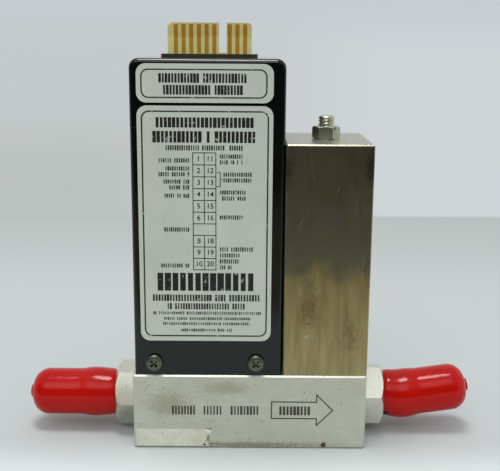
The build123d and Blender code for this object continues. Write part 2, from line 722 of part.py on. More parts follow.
# Two bars from front to back, tapped at their ends for the cover's screws
with BuildPart() as cover_bars:
    with Locations([(x, 0, BASE_HEIGHT) for x in bar_xs]):
        Box(BAR_WIDTH, bar_length, BAR_HEIGHT, align=(Align.CENTER, Align.CENTER, Align.MIN))
    chamfer(cover_bars.edges().filter_by(Axis.Y), BASE_CHAMFER)
    with Locations([(x, y, bar_top) for x, y in bar_screw_centres]):
        CounterBoreHole(
            radius=CAP_SCREW_RADIUS + SLACK,
            counter_bore_radius=CAP_SCREW_HEAD_RADIUS + SLACK,
            counter_bore_depth=CAP_SCREW_HEAD_HEIGHT + SLACK,
            depth=BAR_HEIGHT,
        )
    with Locations([(x, 0, bar_top) for x in bar_xs]):
        Hole(SMALL_SCREW_RADIUS + FIT, depth=SMALL_SCREW_BITE + SLACK)
    for side in (-1, 1):
        for x in bar_xs:
            with Locations(Plane((x, side * bar_length / 2, cover_screw_z), z_dir=(0, side, 0))):
                Hole(COVER_SCREW_RADIUS + FIT, depth=COVER_SCREW_LENGTH)

cover_bars.part.label = "cover_bars"
export_step(cover_bars.part, "parts/cover_bars.step")


# Sheet metal angles: a foot on each bar and an upright against the board
with BuildPart() as board_brackets:
    for x in bar_xs:
        with BuildSketch(Plane((x - BRACKET_WIDTH / 2, 0, 0), x_dir=(0, 1, 0), z_dir=(1, 0, 0))):
            with BuildLine():
                Polyline(
                    (-BRACKET_FOOT_END, bar_top),
                    (board_front, bar_top),
                    (board_front, bar_top + BRACKET_HEIGHT),
                    (board_front - BRACKET_SHEET, bar_top + BRACKET_HEIGHT),
                    (board_front - BRACKET_SHEET, bar_top + BRACKET_SHEET),
                    (-BRACKET_FOOT_END, bar_top + BRACKET_SHEET),
                    close=True,
                )
            make_face()
        extrude(amount=BRACKET_WIDTH)
    with Locations([(x, 0, bar_top + BRACKET_SHEET) for x in bar_xs]):
        Hole(SMALL_SCREW_RADIUS + SLACK, depth=BRACKET_SHEET)
    for x in bar_xs:
        with Locations(Plane((x, board_front, bar_top + BRACKET_SCREW_RISE), z_dir=(0, 1, 0))):
            Hole(SMALL_SCREW_RADIUS + FIT, depth=BRACKET_SHEET)

board_brackets.part.label = "board_brackets"
export_step(board_brackets.part, "parts/board_brackets.step")


# Pan head screws, one at each seat plane, whose local Z leaves the seat
def make_pan_screws(seats, radius, length, head_radius, head_height, recess, domed=False):
    with BuildPart() as screws:
        with BuildSketch(*seats):
            Circle(radius)
        extrude(amount=-length)
        with BuildSketch(*seats):
            Circle(head_radius)
        extrude(amount=head_height)
        for seat in seats:
            rim = screws.edges().filter_by(GeomType.CIRCLE).filter_by_position(
                Axis(seat.origin, seat.z_dir), head_height - FIT, head_height + FIT
            )
            rim = [edge for edge in rim if (edge.arc_center - seat.origin).length < head_height + FIT]
            if domed:
                fillet(rim, head_height * 0.55)
            else:
                chamfer(rim, head_height * 0.3)
        with BuildSketch(*[seat.offset(head_height - recess) for seat in seats]):
            with Locations(Location((0, 0), 45)):
                Rectangle(CROSS_LENGTH, CROSS_WIDTH)
                Rectangle(CROSS_WIDTH, CROSS_LENGTH)
        extrude(amount=recess, mode=Mode.SUBTRACT)
    return screws


bracket_seats = [Plane((x, 0, bar_top + BRACKET_SHEET), z_dir=(0, 0, 1)) for x in bar_xs]
bracket_screws = make_pan_screws(
    bracket_seats,
    SMALL_SCREW_RADIUS,
    SMALL_SCREW_BITE + BRACKET_SHEET,
    SMALL_SCREW_HEAD_RADIUS,
    SMALL_SCREW_HEAD_HEIGHT,
    CROSS_DEPTH,
)
bracket_screws.part.label = "bracket_screws"
export_step(bracket_screws.part, "parts/bracket_screws.step")

board_seats = [Plane((x, board_back, bar_top + BRACKET_SCREW_RISE), z_dir=(0, 1, 0)) for x in bar_xs]
board_screws = make_pan_screws(
    board_seats,
    SMALL_SCREW_RADIUS,
    BOARD_THICKNESS + BRACKET_SHEET,
    SMALL_SCREW_HEAD_RADIUS,
    SMALL_SCREW_HEAD_HEIGHT,
    CROSS_DEPTH,
)
board_screws.part.label = "board_screws"
export_step(board_screws.part, "parts/board_screws.step")

cover_seats = [
    Plane((x, side * body_depth / 2, cover_screw_z), x_dir=(-side, 0, 0), z_dir=(0, side, 0))
    for side in (-1, 1)
    for x in bar_xs
]
cover_screws = make_pan_screws(
    cover_seats,
    COVER_SCREW_RADIUS,
    COVER_SCREW_LENGTH,
    COVER_SCREW_HEAD_RADIUS,
    COVER_SCREW_HEAD_HEIGHT,
    CROSS_DEPTH,
    domed=True,
)
cover_screws.part.label = "cover_screws"
export_step(cover_screws.part, "parts/cover_screws.step")


# Circuit board: its upper tab is the card edge, keyed by one slot
board_plane = Plane((0, board_front, 0), x_dir=(1, 0, 0), z_dir=(0, -1, 0))
with BuildPart() as circuit_board:
    with BuildSketch(board_plane):
        with Locations((board_x, (board_bottom + board_shoulder) / 2)):
            Rectangle(board_right - board_left, board_shoulder - board_bottom)
        with Locations((board_x, board_shoulder)):
            Rectangle(tab_width, tab_top - board_shoulder, align=(Align.CENTER, Align.MIN))
        with Locations((key_x, key_bottom)):
            Rectangle(
                KEY_WIDTH,
                tab_top - key_bottom,
                align=(Align.CENTER, Align.MIN),
                mode=Mode.SUBTRACT,
            )
        with Locations([(x, bar_top + BRACKET_SCREW_RISE) for x in bar_xs]):
            Circle(SMALL_SCREW_RADIUS + SLACK, mode=Mode.SUBTRACT)
    extrude(amount=-BOARD_THICKNESS)
    tab_corners = circuit_board.edges().filter_by(Axis.Y).group_by(Axis.Z)[-1].sort_by(Axis.X)
    chamfer(tab_corners[0], TAB_CORNER)
    tab_corners = circuit_board.edges().filter_by(Axis.Y).group_by(Axis.Z)[-1].sort_by(Axis.X)
    fillet(tab_corners[-1], TAB_CORNER)

circuit_board.part.label = "circuit_board"
export_step(circuit_board.part, "parts/circuit_board.step")


# Gold contacts on both faces of the tab, with one place left out for the key slot
with BuildPart() as edge_contacts:
    contact_top = tab_top - CONTACT_MARGIN
    contact_centres = [
        (first_contact_x + place * CONTACT_PITCH, (board_shoulder + contact_top) / 2)
        for place in range(CONTACT_PLACES)
        if place != KEY_PLACE
    ]
    with BuildSketch(board_plane, board_plane.offset(-BOARD_THICKNESS - CONTACT_THICKNESS)):
        with Locations(contact_centres):
            Rectangle(CONTACT_WIDTH, contact_top - board_shoulder)
    extrude(amount=CONTACT_THICKNESS)

edge_contacts.part.label = "edge_contacts"
export_step(edge_contacts.part, "parts/edge_contacts.step")


# Dual in line packages in a column, lying along the board
with BuildPart() as integrated_circuits:
    ic_mid_height = IC_STANDOFF + IC_HEIGHT / 2
    ic_centres = [(board_x, ic_first_z + row * IC_ROW_PITCH) for row in range(ic_rows)]
    with BuildSketch(board_plane.offset(IC_STANDOFF)):
        with Locations(ic_centres):
            Rectangle(IC_LENGTH, IC_DEPTH)
    extrude(amount=IC_HEIGHT)
    chamfer(integrated_circuits.edges().group_by(Axis.Y)[0], IC_STANDOFF / 2)
    with BuildSketch(board_plane):
        with Locations(ic_centres):
            with GridLocations(CONTACT_PITCH, IC_LEG_ROW, IC_LEGS, 2):
                Rectangle(IC_LEG_WIDTH, IC_LEG_ROW - IC_DEPTH)
    extrude(amount=ic_mid_height)

integrated_circuits.part.label = "integrated_circuits"
export_step(integrated_circuits.part, "parts/integrated_circuits.step")


# Upright electrolytic capacitors
with BuildPart() as capacitors:
    with BuildSketch(board_plane):
        with Locations([(board_x + offset_x, transistor_z) for offset_x in CAPACITOR_OFFSETS]):
            Circle(CAPACITOR_RADIUS)
    extrude(amount=CAPACITOR_HEIGHT)
    fillet(capacitors.edges().group_by(Axis.Y)[0], CAPACITOR_CROWN)

capacitors.part.label = "capacitors"
export_step(capacitors.part, "parts/capacitors.step")


# A row of axial resistors with bent leads
with BuildPart() as resistors:
    lead_reach = RESISTOR_LENGTH / 2 + RESISTOR_LEAD
    first_x = board_x - (RESISTORS - 1) * RESISTOR_PITCH / 2
    resistor_xs = [first_x + place * RESISTOR_PITCH for place in range(RESISTORS)]
    with BuildSketch(Plane.XY.offset(resistor_z - RESISTOR_LENGTH / 2)):
        with Locations([(x, board_front - RESISTOR_RADIUS - SLACK) for x in resistor_xs]):
            Circle(RESISTOR_RADIUS)
    extrude(amount=RESISTOR_LENGTH)
    with BuildSketch(board_plane):
        with Locations([(x, resistor_z) for x in resistor_xs]):
            Rectangle(RESISTOR_LEAD, 2 * lead_reach)
            Rectangle(RESISTOR_LEAD, RESISTOR_LENGTH, mode=Mode.SUBTRACT)
    extrude(amount=RESISTOR_RADIUS + SLACK + RESISTOR_LEAD / 2)

resistors.part.label = "resistors"
export_step(resistors.part, "parts/resistors.step")


# Power transistor that drives the coil, with its drilled tab
with BuildPart() as driver_transistor:
    transistor_x = board_x + TRANSISTOR_OFFSET
    tab_centre = (transistor_x, transistor_z + (TRANSISTOR_HEIGHT + TRANSISTOR_TAB) / 2)
    with BuildSketch(board_plane):
        with Locations((transistor_x, transistor_z)):
            Rectangle(TRANSISTOR_WIDTH, TRANSISTOR_HEIGHT)
    extrude(amount=TRANSISTOR_THICKNESS)
    with BuildSketch(board_plane):
        with Locations(tab_centre):
            Rectangle(TRANSISTOR_WIDTH, TRANSISTOR_TAB)
            Circle(TRANSISTOR_HOLE_RADIUS, mode=Mode.SUBTRACT)
    extrude(amount=TRANSISTOR_TAB_THICKNESS)
    with BuildSketch(board_plane):
        with Locations((transistor_x, transistor_z - (TRANSISTOR_HEIGHT + TRANSISTOR_LEG) / 2)):
            with GridLocations(CONTACT_PITCH, 0, 3, 1):
                Rectangle(IC_LEG_WIDTH, TRANSISTOR_LEG)
    extrude(amount=TRANSISTOR_THICKNESS / 2)

driver_transistor.part.label = "driver_transistor"
export_step(driver_transistor.part, "parts/driver_transistor.step")


# Calibration trimmers: a square body with a round pocket for its slotted rotor
trimmer_xs = [board_x - TRIMMER_PITCH / 2, board_x + TRIMMER_PITCH / 2]
with BuildPart() as trimmer_bodies:
    with BuildSketch(board_plane):
        with Locations([(x, trimmer_z) for x in trimmer_xs]):
            Rectangle(TRIMMER_SIZE, TRIMMER_SIZE)
    extrude(amount=TRIMMER_HEIGHT)
    chamfer(trimmer_bodies.edges().filter_by(Axis.Y), TRIMMER_CHAMFER)
    with BuildSketch(board_plane.offset(TRIMMER_HEIGHT)):
        with Locations([(x, trimmer_z) for x in trimmer_xs]):
            Circle(ROTOR_RADIUS + FIT)
    extrude(amount=-ROTOR_HEIGHT - FIT, mode=Mode.SUBTRACT)

trimmer_bodies.part.label = "trimmer_bodies"
export_step(trimmer_bodies.part, "parts/trimmer_bodies.step")


# A trimmer's rotor with its screwdriver slot, flush with the body's front
def make_rotor(x):
    with BuildPart() as rotor:
        with BuildSketch(board_plane.offset(TRIMMER_HEIGHT)):
            with Locations((x, trimmer_z)):
                Circle(ROTOR_RADIUS)
        extrude(amount=-ROTOR_HEIGHT)
        with BuildSketch(board_plane.offset(TRIMMER_HEIGHT)):
            with Locations((x, trimmer_z)):
                Rectangle(2 * ROTOR_RADIUS, ROTOR_SLOT)
        extrude(amount=-ROTOR_HEIGHT / 2, mode=Mode.SUBTRACT)
    return rotor


zero_rotor = make_rotor(trimmer_xs[0])
zero_rotor.part.label = "zero_rotor"
export_step(zero_rotor.part, "parts/zero_rotor.step")

span_rotor = make_rotor(trimmer_xs[1])
span_rotor.part.label = "span_rotor"
export_step(span_rotor.part, "parts/span_rotor.step")


# Header on the board's back that takes the coil's two leads
header_depth = lead_y + grommet_radius - board_back
lead_zs = [lead_z - LEAD_SPACING / 2, lead_z + LEAD_SPACING / 2]
with BuildPart() as valve_header:
    with BuildSketch(board_plane.offset(-BOARD_THICKNESS - header_depth)):
        with Locations((board_right - HEADER_WIDTH / 2, lead_z)):
            Rectangle(HEADER_WIDTH, HEADER_HEIGHT)
    extrude(amount=header_depth)
    chamfer(valve_header.edges().group_by(Axis.Y)[-1], LEAD_RADIUS)

valve_header.part.label = "valve_header"
export_step(valve_header.part, "parts/valve_header.step")


# Black bar on the cover's top: a flange, a neck through the slot, the card through both
gasket_neck_length = gasket_length - 2 * GASKET_LIP
gasket_neck_depth = GASKET_DEPTH - 2 * GASKET_LIP
with BuildPart() as card_gasket:
    with Locations((board_x, gasket_y, cover_top)):
        Box(gasket_length, GASKET_DEPTH, GASKET_HEIGHT, align=(Align.CENTER, Align.CENTER, Align.MIN))
        Box(
            gasket_neck_length - 2 * FIT,
            gasket_neck_depth - 2 * FIT,
            GASKET_NECK,
            align=(Align.CENTER, Align.CENTER, Align.MAX),
        )
    with Locations((board_x, gasket_y, cover_top)):
        Box(
            tab_width + 2 * SLACK,
            BOARD_THICKNESS + 2 * SLACK,
            2 * (GASKET_HEIGHT + GASKET_NECK),
            mode=Mode.SUBTRACT,
        )

card_gasket.part.label = "card_gasket"
export_step(card_gasket.part, "parts/card_gasket.step")


# Cover: a folded sheet metal can, open at the bottom
with BuildPart() as cover:
    with Locations((cover_x, 0, BASE_HEIGHT)):
        Box(COVER_LENGTH, body_depth, COVER_HEIGHT, align=(Align.CENTER, Align.CENTER, Align.MIN))
    fillet(cover.edges().filter_by(Axis.Y).group_by(Axis.Z)[-1], COVER_TOP_ROUND)
    front_outline = cover.faces().sort_by(Axis.Y)[0].edges()
    back_outline = cover.faces().sort_by(Axis.Y)[-1].edges()
    outline = front_outline + back_outline
    fillet(outline.filter_by(lambda edge: edge.center().Z > BASE_HEIGHT + COVER_WALL), COVER_ROUND)
    offset(amount=-COVER_WALL, openings=cover.faces().sort_by(Axis.Z)[0])
    with BuildSketch(Plane.XY.offset(cover_top)):
        with Locations((board_x, gasket_y)):
            Rectangle(gasket_neck_length, gasket_neck_depth)
    extrude(amount=-2 * COVER_WALL, mode=Mode.SUBTRACT)
    with Locations(*cover_seats):
        Hole(COVER_SCREW_RADIUS + SLACK, depth=2 * COVER_WALL)
    with Locations(Plane((cover_right, lead_y, lead_z), z_dir=(1, 0, 0))):
        Hole(grommet_radius + FIT, depth=2 * COVER_WALL)

cover.part.label = "cover"
export_step(cover.part, "parts/cover.step")


# Foil labels with rounded corners on the cover's front
def make_label(bottom, top):
    with BuildPart() as label:
        with BuildSketch(Plane((0, cover_front, 0), x_dir=(1, 0, 0), z_dir=(0, -1, 0))):
            with Locations(((label_left + label_right) / 2, (bottom + top) / 2)):
                RectangleRounded(label_right - label_left, top - bottom, LABEL_CORNER)
        extrude(amount=LABEL_THICKNESS)
    return label


nameplate_upper = make_label(upper_label_bottom, upper_label_top)
nameplate_upper.part.label = "nameplate_upper"
export_step(nameplate_upper.part, "parts/nameplate_upper.step")

nameplate_lower = make_label(lower_label_bottom, lower_label_top)
nameplate_lower.part.label = "nameplate_lower"
export_step(nameplate_lower.part, "parts/nameplate_lower.step")


# Paper sticker low on the base's front, its right end torn
with BuildPart() as serial_sticker:
    with BuildSketch(Plane((0, -BASE_DEPTH / 2, 0), x_dir=(1, 0, 0), z_dir=(0, -1, 0))):
        with BuildLine():
            Polyline(
                (sticker_left, STICKER_BOTTOM),
                (sticker_left, sticker_top),
                (sticker_right - TEAR, sticker_top),
                (sticker_right, sticker_top - TEAR),
                (sticker_right - 1.5 * TEAR, sticker_top - 1.6 * TEAR),
                (sticker_right - 0.8 * TEAR, STICKER_BOTTOM + 1.4 * TEAR),
                (sticker_right - 2.4 * TEAR, STICKER_BOTTOM),
                close=True,
            )
        make_face()
    extrude(amount=STICKER_THICKNESS)
    left_corners = serial_sticker.edges().filter_by(Axis.Y).group_by(Axis.X)[0]
    fillet(left_corners, TEAR)

serial_sticker.part.label = "serial_sticker"
export_step(serial_sticker.part, "parts/serial_sticker.step")


# Valve housing: a deep steel cap over the coil, drilled for the stud and the leads
with BuildPart() as valve_housing:
    with Locations((valve_x, 0, BASE_HEIGHT)):
        Box(
            HOUSING_WIDTH,
            body_depth,
            housing_top - BASE_HEIGHT,
            align=(Align.CENTER, Align.CENTER, Align.MIN),
        )
    outer_edges = valve_housing.edges().filter_by(Axis.Z) + valve_housing.edges().group_by(Axis.Z)[-1]
    chamfer(outer_edges, HOUSING_CHAMFER)
    with Locations((valve_x, 0, BASE_HEIGHT)):
        Box(
            HOUSING_WIDTH - 2 * HOUSING_WALL,
            body_depth - 2 * HOUSING_WALL,
            roof_bottom - BASE_HEIGHT,
            align=(Align.CENTER, Align.CENTER, Align.MIN),
            mode=Mode.SUBTRACT,
        )
    with Locations((valve_x, 0, housing_top)):
        Hole(STUD_RADIUS + SLACK, depth=HOUSING_ROOF)
    with Locations(Plane((housing_left, lead_y, lead_z), z_dir=(-1, 0, 0))):
        Hole(grommet_radius + FIT, depth=2 * HOUSING_WALL)

valve_housing.part.label = "valve_housing"
export_step(valve_housing.part, "parts/valve_housing.step")


valve_axis = Axis((valve_x, 0, 0), (0, 0, 1))

# Hex nut, chamfered above and below
with BuildPart() as valve_nut:
    nut_corner_radius = NUT_ACROSS_FLATS / 2 / cos(radians(30))
    with BuildSketch(Plane.XY.offset(housing_top)):
        with Locations((valve_x, 0)):
            RegularPolygon(nut_corner_radius, 6, rotation=NUT_TURN)
            Circle(STUD_RADIUS + FIT, mode=Mode.SUBTRACT)
    extrude(amount=NUT_HEIGHT)
    with BuildSketch(Plane.XZ):
        with BuildLine():
            Polyline(
                (valve_x, housing_top),
                (valve_x + NUT_ACROSS_FLATS / 2, housing_top),
                (valve_x + nut_corner_radius + FIT, housing_top + NUT_CHAMFER),
                (valve_x + nut_corner_radius + FIT, housing_top + NUT_HEIGHT - NUT_CHAMFER),
                (valve_x + NUT_ACROSS_FLATS / 2, housing_top + NUT_HEIGHT),
                (valve_x, housing_top + NUT_HEIGHT),
                close=True,
            )
        make_face()
    revolve(axis=valve_axis, mode=Mode.INTERSECT)

valve_nut.part.label = "valve_nut"
export_step(valve_nut.part, "parts/valve_nut.step")


# Fixed pole: a plug in the stem's top, a long shank through the coil and the stud
with BuildPart() as pole_piece:
    with BuildSketch(Plane.XZ):
        with BuildLine():
            Polyline(
                (valve_x, pole_bottom),
                (valve_x + PLUNGER_RADIUS, pole_bottom),
                (valve_x + PLUNGER_RADIUS, stem_top),
                (valve_x + STEM_RADIUS, stem_top),
                (valve_x + STEM_RADIUS, roof_bottom),
                (valve_x + STUD_RADIUS, roof_bottom),
                (valve_x + STUD_RADIUS, stud_top - STUD_CROWN),
                (valve_x + STUD_RADIUS * 0.6, stud_top),
                (valve_x, stud_top),
                close=True,
            )
        make_face()
    revolve(axis=valve_axis)

pole_piece.part.label = "pole_piece"
export_step(pole_piece.part, "parts/pole_piece.step")


# Guide tube with the flange that screws into the base
with BuildPart() as valve_stem:
    with BuildSketch(Plane.XZ):
        with BuildLine():
            Polyline(
                (valve_x + stem_bore_radius, flange_bottom),
                (valve_x + FLANGE_RADIUS, flange_bottom),
                (valve_x + FLANGE_RADIUS, BASE_HEIGHT),
                (valve_x + STEM_RADIUS, BASE_HEIGHT),
                (valve_x + STEM_RADIUS, stem_top),
                (valve_x + stem_bore_radius, stem_top),
                close=True,
            )
        make_face()
    revolve(axis=valve_axis)

valve_stem.part.label = "valve_stem"
export_step(valve_stem.part, "parts/valve_stem.step")


# A flat ring about the valve's axis
def make_ring(bottom, height, outer_radius, inner_radius):
    with BuildPart() as ring:
        with BuildSketch(Plane.XY.offset(bottom)):
            with Locations((valve_x, 0)):
                Circle(outer_radius)
                Circle(inner_radius, mode=Mode.SUBTRACT)
        extrude(amount=height)
    return ring


stem_seal = make_ring(ledge_z, STEM_SEAL_HEIGHT, FLANGE_RADIUS, FLANGE_RADIUS - STEM_SEAL_WIDTH)
stem_seal.part.label = "stem_seal"
export_step(stem_seal.part, "parts/stem_seal.step")

seat_seal = make_ring(seat_floor, SEAT_SEAL_HEIGHT, SEAT_RADIUS, OUTLET_BORE_RADIUS)
seat_seal.part.label = "seat_seal"
export_step(seat_seal.part, "parts/seat_seal.step")

coil_pad = make_ring(bobbin_top, COIL_PAD_HEIGHT, bobbin_radius - COIL_PAD_MARGIN, STEM_RADIUS + SLACK)
coil_pad.part.label = "coil_pad"
export_step(coil_pad.part, "parts/coil_pad.step")


# Valve seat with its raised lip round the orifice
with BuildPart() as valve_seat:
    with BuildSketch(Plane.XZ):
        with BuildLine():
            Polyline(
                (valve_x + ORIFICE_RADIUS, seat_bottom),
                (valve_x + SEAT_RADIUS, seat_bottom),
                (valve_x + SEAT_RADIUS, seat_bottom + SEAT_HEIGHT),
                (valve_x + 2 * SEAT_LIP_RADIUS, seat_bottom + SEAT_HEIGHT),
                (valve_x + SEAT_LIP_RADIUS, lip_top),
                (valve_x + ORIFICE_RADIUS, lip_top),
                close=True,
            )
        make_face()
    revolve(axis=valve_axis)

valve_seat.part.label = "valve_seat"
export_step(valve_seat.part, "parts/valve_seat.step")


# Plunger: a pocket below for the sealing pad, a pocket above for the spring
with BuildPart() as valve_plunger:
    with BuildSketch(Plane.XZ):
        with BuildLine():
            Polyline(
                (valve_x, plunger_bottom + PAD_HEIGHT - PAD_PROUD),
                (valve_x + PAD_RADIUS + FIT, plunger_bottom + PAD_HEIGHT - PAD_PROUD),
                (valve_x + PAD_RADIUS + FIT, plunger_bottom),
                (valve_x + PLUNGER_RADIUS, plunger_bottom),
                (valve_x + PLUNGER_RADIUS, plunger_top),
                (valve_x + SPRING_POCKET_RADIUS, plunger_top),
                (valve_x + SPRING_POCKET_RADIUS, spring_floor),
                (valve_x, spring_floor),
                close=True,
            )
        make_face()
    revolve(axis=valve_axis)

valve_plunger.part.label = "valve_plunger"
export_step(valve_plunger.part, "parts/valve_plunger.step")

with BuildPart() as plunger_pad:
    with BuildSketch(Plane.XY.offset(pad_bottom)):
        with Locations((valve_x, 0)):
            Circle(PAD_RADIUS)
    extrude(amount=PAD_HEIGHT)

plunger_pad.part.label = "plunger_pad"
export_step(plunger_pad.part, "parts/plunger_pad.step")


# Closing spring between the plunger's pocket and the pole
with BuildPart() as plunger_spring:
    spring_bottom = spring_floor + SPRING_WIRE_RADIUS + SEAT_GAP
    spring_height = pole_bottom - SPRING_WIRE_RADIUS - SEAT_GAP - spring_bottom
    with BuildLine():
        coil_line = Helix(
            pitch=spring_height / SPRING_TURNS,
            height=spring_height,
            radius=SPRING_RADIUS,
            center=(valve_x, 0, spring_bottom),
        )
    with BuildSketch(Plane(coil_line @ 0, z_dir=coil_line % 0)):
        Circle(SPRING_WIRE_RADIUS)
    sweep(is_frenet=True)

plunger_spring.part.label = "plunger_spring"
export_step(plunger_spring.part, "parts/plunger_spring.step")


# Steel plate that closes the coil's magnetic path on the base
with BuildPart() as flux_plate:
    with BuildSketch(Plane.XY.offset(BASE_HEIGHT)):
        with Locations((valve_x, 0)):
            Rectangle(
                HOUSING_WIDTH - 2 * HOUSING_WALL - 2 * SLACK,
                body_depth - 2 * HOUSING_WALL - 2 * SLACK,
            )
            Circle(STEM_RADIUS + SLACK, mode=Mode.SUBTRACT)
    extrude(amount=PLATE_THICKNESS)

flux_plate.part.label = "flux_plate"
export_step(flux_plate.part, "parts/flux_plate.step")


# Coil former: a tube between two flanges, with the lead block behind the upper one
bobbin_bore = STEM_RADIUS + SLACK
bobbin_core = bobbin_bore + BOBBIN_WALL
terminal_left = valve_x - TERMINAL_WIDTH / 2
with BuildPart() as coil_bobbin:
    with BuildSketch(Plane.XZ):
        with BuildLine():
            Polyline(
                (valve_x + bobbin_bore, plate_top),
                (valve_x + bobbin_radius, plate_top),
                (valve_x + bobbin_radius, plate_top + BOBBIN_FLANGE),
                (valve_x + bobbin_core, plate_top + BOBBIN_FLANGE),
                (valve_x + bobbin_core, bobbin_top - BOBBIN_FLANGE),
                (valve_x + bobbin_radius, bobbin_top - BOBBIN_FLANGE),
                (valve_x + bobbin_radius, bobbin_top),
                (valve_x + bobbin_bore, bobbin_top),
                close=True,
            )
        make_face()
    revolve(axis=valve_axis)
    with BuildSketch(Plane.XY.offset(bobbin_top)):
        with Locations((valve_x, bobbin_core)):
            Rectangle(TERMINAL_WIDTH, terminal_back - bobbin_core, align=(Align.CENTER, Align.MIN))
    extrude(amount=-BOBBIN_FLANGE)
    with BuildSketch(Plane.XY.offset(bobbin_top)):
        with Locations((valve_x, bobbin_radius)):
            Rectangle(TERMINAL_WIDTH, terminal_back - bobbin_radius, align=(Align.CENTER, Align.MIN))
    extrude(amount=-TERMINAL_HEIGHT)

coil_bobbin.part.label = "coil_bobbin"
export_step(coil_bobbin.part, "parts/coil_bobbin.step")

winding_bottom = plate_top + BOBBIN_FLANGE + FIT
winding_height = bobbin_top - BOBBIN_FLANGE - FIT - winding_bottom
coil_winding = make_ring(
    winding_bottom, winding_height, bobbin_radius - WINDING_MARGIN, bobbin_core + FIT
)
coil_winding.part.label = "coil_winding"
export_step(coil_winding.part, "parts/coil_winding.step")


# The coil's two leads, straight from the former's block to the header
with BuildPart() as valve_leads:
    with BuildSketch(Plane((board_right, lead_y, 0), x_dir=(0, 1, 0), z_dir=(1, 0, 0))):
        with Locations([(0, z) for z in lead_zs]):
            Circle(LEAD_RADIUS)
    extrude(amount=terminal_left - board_right)

valve_leads.part.label = "valve_leads"
export_step(valve_leads.part, "parts/valve_leads.step")


# Rubber bush through both walls, flanged inside the cover
with BuildPart() as lead_grommet:
    grommet_start = cover_right - COVER_WALL
    grommet_plane = Plane((grommet_start, lead_y, 0), x_dir=(0, 1, 0), z_dir=(1, 0, 0))
    with BuildSketch(grommet_plane):
        with Locations((0, lead_z)):
            Circle(grommet_radius)
    extrude(amount=housing_left + HOUSING_WALL - grommet_start)
    with BuildSketch(grommet_plane):
        with Locations((0, lead_z)):
            Circle(grommet_flange_radius)
    extrude(amount=-GROMMET_FLANGE)
    flange_face = grommet_start - GROMMET_FLANGE
    with Locations([Plane((flange_face, lead_y, z), z_dir=(-1, 0, 0)) for z in lead_zs]):
        Hole(LEAD_RADIUS + FIT, depth=HOUSING_WIDTH)

lead_grommet.part.label = "lead_grommet"
export_step(lead_grommet.part, "parts/lead_grommet.step")
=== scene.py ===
import math
import random

import bmesh
import bpy
from mathutils import Matrix, Vector


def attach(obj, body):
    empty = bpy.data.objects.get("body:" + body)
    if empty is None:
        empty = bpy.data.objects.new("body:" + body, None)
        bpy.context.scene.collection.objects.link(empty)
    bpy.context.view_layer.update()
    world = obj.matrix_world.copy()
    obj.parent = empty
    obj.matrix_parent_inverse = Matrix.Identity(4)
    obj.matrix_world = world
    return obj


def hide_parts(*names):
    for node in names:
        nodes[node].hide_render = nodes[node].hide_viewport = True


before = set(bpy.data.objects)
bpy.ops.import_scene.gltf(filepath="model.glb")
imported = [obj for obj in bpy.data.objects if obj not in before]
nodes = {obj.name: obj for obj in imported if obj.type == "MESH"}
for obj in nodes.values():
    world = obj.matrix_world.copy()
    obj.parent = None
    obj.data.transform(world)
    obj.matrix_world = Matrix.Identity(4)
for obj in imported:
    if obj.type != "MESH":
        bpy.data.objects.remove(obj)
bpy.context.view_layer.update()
mm = 0.001
print("frame loaded:", len(nodes), "solids")


def paint(red, green, blue):
    # a colour as it shows on screen, 0 to 255, into the linear one a socket takes
    def linear(v):
        v = v / 255
        return v / 12.92 if v <= 0.04045 else ((v + 0.055) / 1.055) ** 2.4
    return (linear(red), linear(green), linear(blue), 1.0)


def put(tree, kind, inputs=None, **settings):
    node = tree.nodes.new(kind)
    for key, value in settings.items():
        setattr(node, key, value)
    for key, value in (inputs or {}).items():
        plug = node.inputs[key]
        if isinstance(value, bpy.types.NodeSocket):
            tree.links.new(value, plug)
        else:
            plug.default_value = value
    return node


def calc(tree, operation, *values, clamp=False):
    node = put(tree, "ShaderNodeMath", dict(enumerate(values)), operation=operation, use_clamp=clamp)
    return node.outputs[0]


def objectPlace(tree):
    return put(tree, "ShaderNodeTexCoord").outputs["Object"]


def axes(tree, vector):
    return put(tree, "ShaderNodeSeparateXYZ", {0: vector}).outputs


def mixColour(tree, factor, first, second):
    return put(tree, "ShaderNodeMix", {0: factor, 6: first, 7: second}, data_type="RGBA").outputs[2]


def noiseAt(tree, place, scale, detail, roughness=0.5):
    ends = {"Vector": place, "Scale": scale, "Detail": detail, "Roughness": roughness}
    return put(tree, "ShaderNodeTexNoise", ends).outputs


def vectorCalc(tree, operation, *values):
    return put(tree, "ShaderNodeVectorMath", dict(enumerate(values)), operation=operation).outputs


def remap(tree, value, low, high, outLow=0.0, outHigh=1.0, smooth=False):
    ends = {"Value": value, "From Min": low, "From Max": high, "To Min": outLow, "To Max": outHigh}
    way = "SMOOTHSTEP" if smooth else "LINEAR"
    return put(tree, "ShaderNodeMapRange", ends, interpolation_type=way).outputs["Result"]


def fade(tree, value, ends):
    return remap(tree, value, *ends, smooth=True)


def newGroup(name, inputs, outputs):
    tree = bpy.data.node_groups.new(name, "ShaderNodeTree")
    for label, kind, value in inputs:
        plug = tree.interface.new_socket(label, in_out="INPUT", socket_type="NodeSocket" + kind)
        plug.default_value = value
    for label in outputs:
        tree.interface.new_socket(label, in_out="OUTPUT", socket_type="NodeSocketFloat")
    return tree, tree.nodes.new("NodeGroupInput").outputs, tree.nodes.new("NodeGroupOutput").inputs


def grainGroup():
    # noise that can be drawn out along one direction, for brushing, mottling and smears
    tree, given, result = newGroup("grain", [
        ("Scale", "Vector", (1000.0,) * 3), ("Detail", "Float", 4.0), ("Contrast", "Float", 1.0)],
        ["Value"])
    place = objectPlace(tree)
    drawn = vectorCalc(tree, "MULTIPLY", place, given["Scale"])[0]
    noise = noiseAt(tree, drawn, 1.0, given["Detail"], 0.62)[0]
    centred = calc(tree, "SUBTRACT", noise, 0.5)
    spread = calc(tree, "MULTIPLY_ADD", centred, given["Contrast"], 0.5, clamp=True)
    tree.links.new(spread, result["Value"])
    return tree


